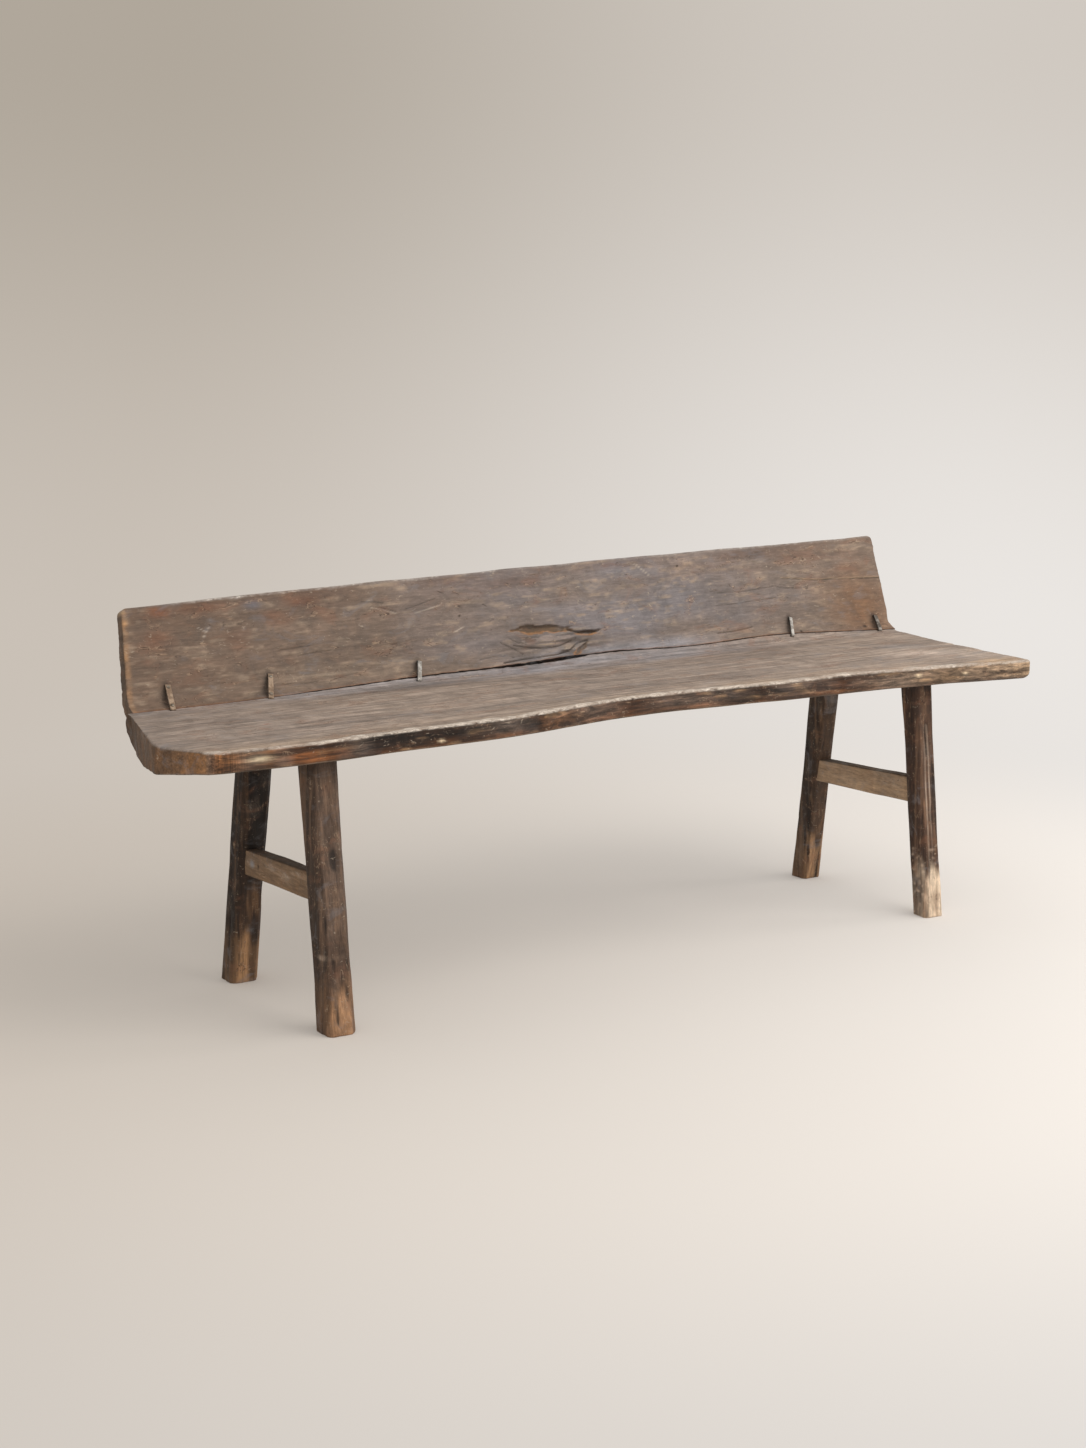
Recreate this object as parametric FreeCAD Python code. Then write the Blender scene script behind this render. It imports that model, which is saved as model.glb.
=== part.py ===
import FreeCAD
import Part
import math
import os

# A low rustic bench. Seat and back are hewn from one log as a J in section, and a crack
# along the inside corner has parted them. Five iron pieces bridge the crack. Four hewn
# legs stand in blind sockets under the seat, and a stretcher joins each pair of legs.
# Millimetres. +X runs along the bench, +Y to the rear, +Z up.

# Seat
seat_height = 441.0
seat_edge = 32.0            # thickness at the front edge
seat_left = -742.0          # left end, at the crease
seat_right = 732.0          # right end, at the crease
left_swing = 67.0           # how far the left end swings out towards the front
swing_depth = 252.0         # depth where that swing ends and the corner is cut back
left_cut = 53.0             # length of bench lost to the cut front left corner
left_cut_depth = 342.0
right_waist = 8.0           # hollow of the right end, at mid depth
right_cut = 4.0             # how far the right end has drawn in at the front corner
front_depths = (351.0, 343.0, 339.0, 310.0, 305.0, 321.0, 327.0, 350.0)
right_corner_depth = 385.0
swing_corner_radius = 60.0
left_corner_radius = 26.0
right_corner_radius = 17.0
top_arris = 6.0             # worn round on the front and end edges of the seat
bottom_arris = 2.5          # broken flat along the lower edges

# Back
crease_y = 156.0            # where the seat face and the back face would meet
back_recline = 21.45        # degrees
back_thickness = 22.0
back_left_foot = -741.0
back_left_top = -722.5
back_right_foot = 732.0
back_right_top = 737.5
foot_height = 30.0          # the right end steps out above its foot, up to this height
back_height_left = 161.0    # along the slope, from the crease
back_height_right = 175.5
back_crown = 3.0            # the top edge is this much fuller at mid length
back_corner_radius = 9.0
back_arris = 6.0            # worn round along the top and down both ends

# Inside corner and the outside of the log. The belly's drop is measured from the seat face.
cove_radius = 45.0
log_radius = 95.0           # the outside, which turns under from the back to the belly
belly_drop = 56.5
bevel_width = 211.0         # slope hewn from the belly up to the front edge, which follows its wander

# Crack between seat and back: height above the middle of the cove, left to right
crack_wander = (-14.0, -17.0, -15.5, -7.0, -1.0, 1.0, 7.5, 1.5, 6.0, -4.0, -19.0)

# Legs: centre of the foot on the floor, centre of the head at the height of the heads
head_height = 398.0
foot_front_left = (-567.0, -171.0)
foot_rear_left = (-574.0, 144.0)
foot_front_right = (582.0, -144.0)
foot_rear_right = (565.0, 173.0)
head_front_left = (-558.5, -108.0)
head_rear_left = (-555.0, 105.0)
head_front_right = (571.5, -108.0)
head_rear_right = (550.5, 105.0)
left_leg_across = 48.0
right_leg_across = 41.5
leg_head_swell = 2.0        # legs are this much stouter at the head
leg_waist = 1.0             # and this much slimmer at the stretcher
leg_corner_share = 0.2      # part of the width that each hewn corner takes off
leg_corner_radius = 5.0
foot_arris = 2.5
leg_tenon_radius = 15.0
tenon_root = 74.0           # the tenon starts this far below the seat face, in the leg
wood_over_tenon = 12.0      # left between the socket and the seat face
tenon_clearance = 0.2
socket_end_gap = 1.0

# Stretchers
stretcher_thickness_rear = 24.0
stretcher_thickness_front = 20.0
stretcher_offset = -2.0     # the bar sits this far to the left of the legs' centres
left_stretcher_rear = (196.0, 40.0)     # height of its centre, height of the bar
left_stretcher_front = (208.0, 43.0)
right_stretcher_rear = (207.0, 39.0)
right_stretcher_front = (215.0, 44.0)
stretcher_short_of_axis = 5.0
mortise_clearance = 0.3
mortise_end_gap = 0.8

# Ironwork over the crack: widths, then the top and the bottom end of each iron, as its
# place along the bench and its height above the middle of the cove
strap_outer_width = 9.5
strap_inner_width = 9.0
cramp_centre_width = 7.5
cramp_inner_width = 6.5
cramp_outer_width = 8.0
strap_outer = ((-670.0, 28.0), (-679.0, -22.0), strap_outer_width)
strap_inner = ((-497.5, 28.0), (-514.5, -19.0), strap_inner_width)
cramp_centre = ((-233.5, 25.0), (-251.0, -15.5), cramp_centre_width)
cramp_inner = ((516.0, 33.0), (505.0, -4.0), cramp_inner_width)
cramp_outer = ((704.0, 22.0), (693.5, -15.5), cramp_outer_width)
strap_thickness = 2.2
cramp_thickness = 3.4
bend_softness = 0.3         # radius outside each bend, as a share of the iron's thickness
prong_length = 11.0
prong_clearance = 0.2
nail_inset = 6.0
nail_shank_width = 2.4
nail_tip_width = 0.8
nail_length = 15.0
nail_head_radius = 3.1
nail_head_height = 1.2
nail_clearance = 0.15
spare_hole_radius = 1.5     # empty nail hole near the top of the outer right cramp
spare_hole_inset = 6.5

# Directions in the section plane
recline = math.radians(back_recline)
up_back = FreeCAD.Vector(0, math.sin(recline), math.cos(recline))
out_back = FreeCAD.Vector(0, math.cos(recline), -math.sin(recline))
forward = FreeCAD.Vector(0, -1, 0)
upward = FreeCAD.Vector(0, 0, 1)
crease = FreeCAD.Vector(0, crease_y, seat_height)
half_corner = (math.pi / 2 + recline) / 2
into_room = (forward + up_back).normalize()
into_wood = into_room * -1
up_cove = FreeCAD.Vector(0, into_room.z, -into_room.y)
cove_centre = crease + into_room * (cove_radius / math.sin(half_corner))
cove_middle = cove_centre + into_wood * cove_radius
cove_tangent = cove_radius / math.tan(half_corner)
beyond = 60.0               # how far cutting shapes reach past the wood


def along(x, vector):
    """The point of a section vector at a place along the bench."""
    return FreeCAD.Vector(x, vector.y, vector.z)


def spline(points):
    """A smooth edge through the points."""
    curve = Part.BSplineCurve()
    curve.interpolate(Points=points)
    return curve.toShape()


def stations(start, end, count):
    """Evenly spaced places from start to end."""
    return [start + (end - start) * i / (count - 1) for i in range(count)]


def round_edges(solid, radius, chosen):
    """Round the edges that the test picks."""
    return solid.makeFillet(radius, [edge for edge in solid.Edges if chosen(edge)])


def runs_along(edge, point):
    """True for the edge that runs the length of the bench through a section point."""
    ends = [vertex.Point for vertex in edge.Vertexes]
    return all(math.hypot(end.y - point.y, end.z - point.z) < 0.01 for end in ends)


def hewn_log():
    """The J section of seat and back, as long as the bench and still square ended."""
    x = seat_left - left_swing - beyond
    front_y = crease_y - right_corner_depth - beyond
    back_reach = max(back_height_left, back_height_right) + back_crown + beyond
    belly_z = seat_height - belly_drop
    top_front = crease + up_back * back_reach
    top_rear = top_front + out_back * back_thickness
    heel = top_rear - up_back * ((top_rear.z - belly_z) / up_back.z)
    section = [
        FreeCAD.Vector(0, front_y, seat_height),
        crease,
        top_front,
        top_rear,
        heel,
        FreeCAD.Vector(0, front_y, belly_z),
    ]
    outline = Part.makePolygon([along(x, point) for point in section + section[:1]])
    reach = seat_right - seat_left + left_swing + 2 * beyond
    log = Part.Face(outline).extrude(FreeCAD.Vector(reach, 0, 0))
    log = round_edges(log, cove_radius, lambda edge: runs_along(edge, crease))
    return round_edges(log, log_radius, lambda edge: runs_along(edge, heel))


def front_line(extra, z):
    """The wandering front edge at a height, carried on past both corners by a length."""
    left = seat_left - left_swing + left_cut
    right = seat_right - right_cut
    depths = (left_cut_depth,) + front_depths + (right_corner_depth,)
    places = stations(left, right, len(depths))
    points = [FreeCAD.Vector(x, crease_y - depth, z) for x, depth in zip(places, depths)]
    if extra:
        points.insert(0, points[0] - FreeCAD.Vector(extra, 0, 0))
        points.append(points[-1] + FreeCAD.Vector(extra, 0, 0))
    return points


def front_bevel():
    """What the bevel under the front edge takes away."""
    fall = (belly_drop - seat_edge) / bevel_width
    points = [point + forward * beyond for point in front_line(beyond, seat_height - seat_edge + fall * beyond)]
    slope = (forward * -1 - upward * fall) * (bevel_width + 2 * beyond)
    return spline(points).extrude(slope).extrude(upward * -2 * beyond)


def seat_plan():
    """Everything above and below the seat's outline, with its corners rounded."""
    rear = crease_y + beyond
    swing = FreeCAD.Vector(seat_left - left_swing, crease_y - swing_depth, 0)
    slope = (crease_y - swing.y) / left_swing
    rear_left = FreeCAD.Vector(seat_left + beyond / slope, rear, 0)
    front = front_line(0, 0)
    left_corner = front[0]
    right_corner = front[-1]
    foot_right = FreeCAD.Vector(seat_right, crease_y, 0)
    waist = (right_corner + foot_right) / 2 - FreeCAD.Vector(right_waist, 0, 0)
    rear_right = FreeCAD.Vector(seat_right, rear, 0)
    outline = Part.Wire([
        Part.makeLine(rear_left, swing),
        Part.makeLine(swing, left_corner),
        spline(front),
        Part.Arc(right_corner, waist, foot_right).toShape(),
        Part.makeLine(foot_right, rear_right),
        Part.makeLine(rear_right, rear_left),
    ])
    plan = Part.Face(outline).extrude(upward * (seat_height + beyond))
    corners = (
        (swing, swing_corner_radius),
        (left_corner, left_corner_radius),
        (right_corner, right_corner_radius),
    )
    for corner, radius in corners:
        plan = round_edges(plan, radius, lambda edge: stands_at(edge, corner))
    return plan


def stands_at(edge, corner):
    """True for the upright edge over a corner of the plan."""
    ends = [vertex.Point for vertex in edge.Vertexes]
    return all(math.hypot(end.x - corner.x, end.y - corner.y) < 0.01 for end in ends)


def crack_side():
    """The space in front of and below the crack, which the seat side of the log fills."""
    left = seat_left - left_swing - beyond
    right = seat_right + beyond
    low = cove_middle - into_wood * right_corner_depth
    places = stations(left, right, len(crack_wander))
    crest = [along(x, low + up_cove * h) for x, h in zip(places, crack_wander)]
    depth = up_cove * (right_corner_depth + 2 * beyond)
    outline = Part.Wire([
        spline(crest),
        Part.makeLine(crest[-1], crest[-1] - depth),
        Part.makeLine(crest[-1] - depth, crest[0] - depth),
        Part.makeLine(crest[0] - depth, crest[0]),
    ])
    return Part.Face(outline).extrude(into_wood * (seat_height + right_corner_depth))


def back_outline():
    """A slab through the back, with the outline of its ends and top edge."""
    def on_face(x, height):
        return along(x, crease + up_back * height - out_back * beyond)

    below = -2 * beyond
    lean_left = (back_left_top - back_left_foot) / back_height_left
    low_left = on_face(back_left_foot + lean_left * below, below)
    top_left = on_face(back_left_top, back_height_left)
    middle = (back_left_top + back_right_top) / 2
    crown = (back_height_left + back_height_right) / 2 + back_crown
    top_middle = on_face(middle, crown)
    top_right = on_face(back_right_top, back_height_right)
    step_right = on_face(back_right_top, foot_height)
    foot_right = on_face(back_right_foot, 0)
    low_right = on_face(back_right_foot, below)
    outline = Part.Wire([
        Part.makeLine(low_left, top_left),
        Part.Arc(top_left, top_middle, top_right).toShape(),
        Part.makeLine(top_right, step_right),
        Part.makeLine(step_right, foot_right),
        Part.makeLine(foot_right, low_right),
        Part.makeLine(low_right, low_left),
    ])
    slab = Part.Face(outline).extrude(out_back * (2 * beyond + back_thickness))
    rounded = (
        (top_left, back_corner_radius),
        (top_right, back_corner_radius),
        (step_right, foot_height),
        (foot_right, foot_height),
    )
    for corner, radius in rounded:
        slab = round_edges(slab, radius, lambda edge: crosses_at(edge, corner))
    return slab


def crosses_at(edge, corner):
    """True for the edge that runs through the back's thickness at a corner."""
    ends = [vertex.Point for vertex in edge.Vertexes]
    return all((end - corner).cross(out_back).Length < 0.01 for end in ends)


def hewn_ring(centre_x, centre_y, z, across):
    """An eight-sided hewn section with soft corners, level with the floor."""
    half = across / 2
    flat = half - across * leg_corner_share
    corners = [(half, flat), (flat, half), (-flat, half), (-half, flat)]
    corners += [(-x, -y) for x, y in corners]
    points = [FreeCAD.Vector(centre_x + x, centre_y + y, z) for x, y in corners]
    edges = []
    for i, corner in enumerate(points):
        before = (points[i - 1] - corner).normalize()
        after = (points[(i + 1) % len(points)] - corner).normalize()
        half_angle = before.getAngle(after) / 2
        run = leg_corner_radius / math.tan(half_angle)
        bisector = (before + after).normalize()
        middle = corner + bisector * (leg_corner_radius * (1 / math.sin(half_angle) - 1))
        edges.append((corner + before * run, middle, corner + after * run))
    outline = []
    for i, (start, middle, end) in enumerate(edges):
        outline.append(Part.Arc(start, middle, end).toShape())
        outline.append(Part.makeLine(end, edges[(i + 1) % len(edges)][0]))
    return Part.Wire(outline)


def leg_axis(foot, head, z):
    """The centre of a leg at a height above the floor."""
    share = z / head_height
    x = foot[0] + (head[0] - foot[0]) * share
    y = foot[1] + (head[1] - foot[1]) * share
    return FreeCAD.Vector(x, y, z)


def leg_blank(foot, head, across, waist_z):
    """A hewn leg that runs up into the thickness of the seat."""
    top_z = seat_height - wood_over_tenon
    rings = []
    for z, width in ((0, across), (waist_z, across - leg_waist), (top_z, across + leg_head_swell)):
        centre = leg_axis(foot, head, z)
        rings.append(hewn_ring(centre.x, centre.y, z, width))
    blank = Part.makeLoft(rings, True, True)
    return blank.makeChamfer(foot_arris, [edge for edge in blank.Edges if edge.BoundBox.ZMax < 0.01])


def leg_tenon(foot, head, radius, end_gap):
    """A round tenon on the leg's axis, up into the seat."""
    low = leg_axis(foot, head, seat_height - tenon_root)
    high = leg_axis(foot, head, seat_height - wood_over_tenon + end_gap)
    return Part.makeCylinder(radius, low.distanceToPoint(high), low, high - low)


def stretcher_bar(rear_leg, front_leg, rear, front, clearance, end_gap):
    """A tapered bar between two legs, which runs into a mortise in each of them."""
    rear_centre = leg_axis(*rear_leg, rear[0])
    front_centre = leg_axis(*front_leg, front[0])
    run = (front_centre - rear_centre).normalize()
    ends = (
        (rear_centre + run * (stretcher_short_of_axis - end_gap), stretcher_thickness_rear, rear[1]),
        (front_centre - run * (stretcher_short_of_axis - end_gap), stretcher_thickness_front, front[1]),
    )
    rings = []
    for centre, thickness, height in ends:
        left = centre.x + stretcher_offset - thickness / 2 - clearance
        right = centre.x + stretcher_offset + thickness / 2 + clearance
        low = centre.z - height / 2 - clearance
        high = centre.z + height / 2 + clearance
        corners = ((left, low), (right, low), (right, high), (left, high), (left, low))
        rings.append(Part.makePolygon([FreeCAD.Vector(x, centre.y, z) for x, z in corners]))
    return Part.makeLoft(rings, True, True)


def cove_surface(height):
    """The wood's surface at a height above the middle of the cove, measured up the cove."""
    limit = cove_radius * math.cos(half_corner)
    inside = max(-limit, min(limit, height))
    point = cove_centre + up_cove * inside
    point = point + into_wood * math.sqrt(cove_radius ** 2 - inside ** 2)
    slope = up_back if height > 0 else forward * -1
    return point + slope * ((height - inside) / up_cove.dot(slope))


def iron_frame(iron):
    """Top and bottom of an iron on the wood, with the direction along it."""
    (top_x, top_height), (bottom_x, bottom_height), width = iron
    top = along(top_x, cove_surface(top_height))
    bottom = along(bottom_x, cove_surface(bottom_height))
    return top, bottom, (top - bottom).normalize()


def bar(start, end, width, thickness, outward):
    """A flat bar from start to end, with its inner face on that line."""
    run = (end - start).normalize()
    side = run.cross(outward).normalize()
    low = start - side * (width / 2)
    high = start + side * (width / 2)
    face = Part.Face(Part.makePolygon([low, high, high + outward * thickness,
                                       low + outward * thickness, low]))
    return face.extrude(end - start)


def iron_outward(run):
    """Square to an iron and to the bench's length, away from the wood."""
    return run.cross(FreeCAD.Vector(1, 0, 0)).normalize() * -1


def prongs(iron, thickness, both, grow):
    """The points of an iron, bent at right angles into the wood."""
    top, bottom, run = iron_frame(iron)
    outward = iron_outward(run)
    inward = outward * -1
    side = run.cross(outward).normalize()
    half = iron[2] / 2 + grow
    ends = [(bottom, run)]
    if both:
        ends.append((top, run * -1))
    solids = []
    for end, towards_middle in ends:
        start = end - towards_middle * grow + outward * thickness
        tip = inward * (prong_length + thickness + grow)
        wide = towards_middle * (thickness + 2 * grow)
        root = Part.makePolygon([start - side * half, start + side * half,
                                 start + side * half + wide, start - side * half + wide,
                                 start - side * half])
        solids.append(Part.Face(root).extrude(tip))
    return solids


def iron_body(iron, thickness, both_prongs):
    """A flat iron over the crack, with one or both ends driven into the wood."""
    top, bottom, run = iron_frame(iron)
    outward = iron_outward(run)
    crown = bar(bottom, top, iron[2], thickness, outward)
    body = crown.fuse(prongs(iron, thickness, both_prongs, 0)).removeSplitter()
    face_point = top + outward * thickness
    return round_edges(body, thickness * bend_softness, lambda edge: crosses_crown(edge, face_point, outward, run))


def crosses_crown(edge, face_point, outward, run):
    """True for the edge across each end of an iron's outer face."""
    ends = [vertex.Point for vertex in edge.Vertexes]
    on_face = all(abs((end - face_point).dot(outward)) < 0.01 for end in ends)
    across = abs((ends[1] - ends[0]).dot(run)) < 0.01
    return on_face and across


def nail_seats(iron):
    """Where the two nails of a strap stand on the wood."""
    top, bottom, run = iron_frame(iron)
    return [top - run * nail_inset, bottom + run * (nail_inset + strap_thickness)]


def shank(iron, seat, clearance):
    """The square shank of a nail, or its hole, from the strap's face down into the wood."""
    run = iron_frame(iron)[2]
    outward = iron_outward(run)
    side = run.cross(outward).normalize()
    start = seat + outward * (strap_thickness + clearance)
    tip = start - outward * (nail_length + 2 * clearance)
    rings = []
    for centre, width in ((start, nail_shank_width), (tip, nail_tip_width)):
        half = width / 2 + clearance
        corners = [(half, half), (half, -half), (-half, -half), (-half, half), (half, half)]
        rings.append(Part.makePolygon([centre + run * i + side * j for i, j in corners]))
    return Part.makeLoft(rings, True, True)


def nail(iron, seat):
    """A small forged nail with a low domed head on the strap's face."""
    outward = iron_outward(iron_frame(iron)[2])
    head_base = seat + outward * strap_thickness
    dome_radius = (nail_head_radius ** 2 + nail_head_height ** 2) / (2 * nail_head_height)
    ball = Part.makeSphere(dome_radius, head_base + outward * (nail_head_height - dome_radius))
    space = Part.makeCylinder(nail_head_radius, nail_head_height * 2, head_base, outward)
    return ball.common(space).fuse(shank(iron, seat, 0)).removeSplitter()


def spare_hole(iron, thickness):
    """An empty nail hole through an iron, near its top."""
    top, bottom, run = iron_frame(iron)
    outward = iron_outward(run)
    start = top - run * spare_hole_inset
    return Part.makeCylinder(spare_hole_radius, thickness, start, outward)


def bored(piece, holes):
    """The piece with each hole cut in turn."""
    for hole in holes:
        piece = piece.cut(hole)
    return piece


def is_plan_edge(edge):
    """True for the lower edges of the seat's front and ends, up the outside of the log."""
    box = edge.BoundBox
    upright = box.XLength < 1 and box.YLength < 1
    under_belly = box.ZMax < seat_height - (seat_edge + belly_drop) / 2
    seam = under_belly and box.XLength > beyond
    lengthwise = box.YLength < 0.1 and box.ZLength < 0.1
    return box.ZMin < seat_height - seat_edge / 2 and not (upright or lengthwise or seam)


def is_seat_face_edge(edge):
    """True for the edges around the seat's upper face, ahead of the cove."""
    box = edge.BoundBox
    level = box.ZMin > seat_height - 0.01 and box.ZMax < seat_height + 0.01
    return level and box.YMin < crease_y - cove_tangent - 1


def show(name, shape):
    """Print what a piece came out as."""
    box = shape.BoundBox
    print(name, shape.ShapeType, len(shape.Solids), shape.isValid(), round(shape.Volume / 1000),
          [round(v, 1) for v in (box.XMin, box.XMax, box.YMin, box.YMax, box.ZMin, box.ZMax)])


def seat_blank(log):
    """The seat before its sockets are bored, with its edges worn round."""
    blank = log.common(seat_plan())
    blank = blank.makeChamfer(bottom_arris, [edge for edge in blank.Edges if is_plan_edge(edge)])
    blank = round_edges(blank, top_arris, is_seat_face_edge)
    return blank.common(crack_side())


def back_blank(log):
    """The back before the irons are driven, with its edges worn round."""
    board = log.common(back_outline())
    board = round_edges(board, back_arris, is_top_edge)
    return board.cut(crack_side())


def is_top_edge(edge):
    """True for the long edges of the back's top, from which the rounding runs down the ends."""
    box = edge.BoundBox
    return box.ZMin > seat_height + back_height_left / 2 and box.XLength > beyond


# Each leg: its foot, its head, its width and the height of its waist
legs = {
    "leg_front_left": (foot_front_left, head_front_left, left_leg_across, left_stretcher_front[0]),
    "leg_rear_left": (foot_rear_left, head_rear_left, left_leg_across, left_stretcher_rear[0]),
    "leg_front_right": (foot_front_right, head_front_right, right_leg_across, right_stretcher_front[0]),
    "leg_rear_right": (foot_rear_right, head_rear_right, right_leg_across, right_stretcher_rear[0]),
}
stretchers = {
    "stretcher_left": ("leg_rear_left", "leg_front_left", left_stretcher_rear, left_stretcher_front),
    "stretcher_right": ("leg_rear_right", "leg_front_right", right_stretcher_rear, right_stretcher_front),
}
straps = {"strap_outer_left": strap_outer, "strap_inner_left": strap_inner}
cramps = {
    "cramp_centre": cramp_centre,
    "cramp_inner_right": cramp_inner,
    "cramp_outer_right": cramp_outer,
}

log = hewn_log()
log = log.cut(front_bevel())
seat = seat_blank(log)
back = back_blank(log)
pieces = {}

# Legs: scribed to the underside of the log, tenoned into it, mortised for the stretchers
leg_solids = {}
for name, (foot, head, across, waist_z) in legs.items():
    body = leg_blank(foot, head, across, waist_z).cut(log)
    tenon = leg_tenon(foot, head, leg_tenon_radius, 0)
    leg_solids[name] = body.fuse(tenon).removeSplitter()
    socket = leg_tenon(foot, head, leg_tenon_radius + tenon_clearance, socket_end_gap)
    seat = seat.cut(socket)

for name, (rear_leg, front_leg, rear, front) in stretchers.items():
    ends = (legs[rear_leg][:2], legs[front_leg][:2], rear, front)
    pieces[name] = stretcher_bar(*ends, 0, 0)
    mortise = stretcher_bar(*ends, mortise_clearance, mortise_end_gap)
    for leg in (rear_leg, front_leg):
        leg_solids[leg] = leg_solids[leg].cut(mortise)
pieces.update(leg_solids)

# Ironwork: flat straps with nails on the left, bare cramps elsewhere
nails = []
for name, iron in straps.items():
    body = iron_body(iron, strap_thickness, False)
    holes = prongs(iron, strap_thickness, False, prong_clearance)
    for place in nail_seats(iron):
        holes.append(shank(iron, place, nail_clearance))
        body = body.cut(holes[-1])
        nails.append(nail(iron, place).Solids[0])
    pieces[name] = body
    seat = bored(seat, holes)
    back = bored(back, holes)
pieces["strap_nails"] = Part.makeCompound(nails)

for name, iron in cramps.items():
    pieces[name] = iron_body(iron, cramp_thickness, True)
    if iron is cramp_outer:
        pieces[name] = pieces[name].cut(spare_hole(iron, cramp_thickness))
    holes = prongs(iron, cramp_thickness, True, prong_clearance)
    seat = bored(seat, holes)
    back = bored(back, holes)

pieces["seat_plank"] = seat
pieces["back_plank"] = back

# The origin goes to the middle of the footprint, on the floor
box = Part.makeCompound(list(pieces.values())).optimalBoundingBox(False, False)
to_origin = FreeCAD.Vector(-(box.XMin + box.XMax) / 2, -(box.YMin + box.YMax) / 2, -box.ZMin)
print("moved by", to_origin, "overall", box.XLength, box.YLength, box.ZLength)

os.makedirs("parts", exist_ok=True)
for name, shape in pieces.items():
    shape.translate(to_origin)
    solids = shape.Solids
    shape = solids[0] if len(solids) == 1 else Part.makeCompound(solids)
    show(name, shape)
    shape.exportStep("parts/" + name + ".step")
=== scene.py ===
import math

import bpy
import numpy as np
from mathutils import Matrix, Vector


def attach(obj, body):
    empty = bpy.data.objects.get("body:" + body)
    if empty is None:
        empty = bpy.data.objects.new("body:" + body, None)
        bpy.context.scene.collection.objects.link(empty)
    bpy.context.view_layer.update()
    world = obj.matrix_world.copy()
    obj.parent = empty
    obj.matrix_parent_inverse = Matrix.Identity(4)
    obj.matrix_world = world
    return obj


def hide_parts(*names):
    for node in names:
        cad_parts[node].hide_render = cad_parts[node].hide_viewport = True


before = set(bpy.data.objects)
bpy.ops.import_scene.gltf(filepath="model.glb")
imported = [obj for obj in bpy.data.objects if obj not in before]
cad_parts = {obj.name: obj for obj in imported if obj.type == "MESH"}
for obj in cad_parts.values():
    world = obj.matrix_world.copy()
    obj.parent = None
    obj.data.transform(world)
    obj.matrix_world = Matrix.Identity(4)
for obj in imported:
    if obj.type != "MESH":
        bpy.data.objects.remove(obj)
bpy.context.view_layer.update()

# A low rustic bench: seat and back hewn from one log and parted by a crack along the inside
# corner, with five irons over the crack, four hewn legs and two stretchers. Every wooden
# piece and iron is modelled here in full around the frame. Lengths are in millimetres until
# a mesh is made, and in metres from there on.

# Section of the log, seen from the left end
CREASE_Y = 148.66           # where the seat face and the back face would meet
SEAT_Z = 441.0
RECLINE = math.radians(21.45)
UP_BACK = np.array([math.sin(RECLINE), math.cos(RECLINE)])
OUT_BACK = np.array([math.cos(RECLINE), -math.sin(RECLINE)])
CREASE = np.array([CREASE_Y, SEAT_Z])
HALF_CORNER = (math.pi / 2 + RECLINE) / 2
INTO_ROOM = np.array([-math.sin(HALF_CORNER - RECLINE), math.cos(HALF_CORNER - RECLINE)])
UP_COVE = np.array([INTO_ROOM[1], -INTO_ROOM[0]])
COVE_RADIUS = 45.0
COVE_CENTRE = CREASE + INTO_ROOM * COVE_RADIUS / math.sin(HALF_CORNER)
COVE_TANGENT = COVE_RADIUS / math.tan(HALF_CORNER)
COVE_LIMIT = COVE_RADIUS * math.cos(HALF_CORNER)
BACK_THICKNESS = 22.0
LOG_RADIUS = 95.0           # the outside, which turns under from the back to the belly
BELLY_Z = 384.5
BACK_FOOT = CREASE + OUT_BACK * BACK_THICKNESS
HEEL_HEIGHT = (BELLY_Z - BACK_FOOT[1]) / UP_BACK[1]
LOG_TANGENT = LOG_RADIUS / math.tan(HALF_CORNER)
LOG_BACK_TANGENT = HEEL_HEIGHT + LOG_TANGENT        # where the outside becomes straight
LOG_CENTRE = np.array([BACK_FOOT[0] + UP_BACK[0] * HEEL_HEIGHT - LOG_TANGENT, BELLY_Z + LOG_RADIUS])

# Seat
SEAT_EDGE = 32.0
BEVEL_WIDTH = 211.0         # slope from the belly up to the front edge
FRONT_PLACES = np.linspace(-722.5, 761.5, 10)
FRONT_DEPTHS = (342.0, 351.0, 343.0, 339.0, 310.0, 305.0, 321.0, 327.0, 350.0, 385.0)
CRACK_PLACES = np.linspace(-835.5, 825.5, 11)
CRACK_WANDER = (-14.0, -17.0, -15.5, -7.0, -1.0, 1.0, 7.5, 1.5, 6.0, -4.0, -19.0)
GAP_PLACES = (-780, -500, -390, -320, -205, -70, -22, 36, 92, 122, 200, 312, 460, 560, 780)
GAP_WIDTHS = (0.1, 0.2, 1.2, 1.5, 2.0, 2.2, 5.0, 6.5, 5.2, 1.6, 1.4, 1.1, 0.6, 0.8, 0.6)


def smooth_line(places, values, x):
    """A natural cubic spline through the values, read at x."""
    places = np.asarray(places, float)
    values = np.asarray(values, float)
    gaps = np.diff(places)
    slopes = np.diff(values) / gaps
    count = len(places)
    system = np.eye(count)
    known = np.zeros(count)
    for i in range(1, count - 1):
        system[i, i - 1:i + 2] = gaps[i - 1], 2 * (gaps[i - 1] + gaps[i]), gaps[i]
        known[i] = 6 * (slopes[i] - slopes[i - 1])
    bend = np.linalg.solve(system, known)
    x = np.clip(x, places[0], places[-1])
    i = np.clip(np.searchsorted(places, x) - 1, 0, count - 2)
    a = (places[i + 1] - x) / gaps[i]
    b = 1 - a
    curve = ((a ** 3 - a) * bend[i] + (b ** 3 - b) * bend[i + 1]) * gaps[i] ** 2 / 6
    return a * values[i] + b * values[i + 1] + curve


def hashed(cells, seed):
    """A repeatable value from 0 to 1 for each whole-numbered cell."""
    mixed = cells[..., 0] * 73856093 ^ cells[..., 1] * 19349663 ^ cells[..., 2] * 83492791
    mixed = (mixed ^ seed * 97531) & 0xFFFFFFFF
    for _ in range(2):
        mixed = ((mixed ^ mixed >> 15) * 2246822519) & 0xFFFFFFFF
        mixed = mixed ^ mixed >> 13
    return (mixed & 0xFFFFFF) / 0xFFFFFF


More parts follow.
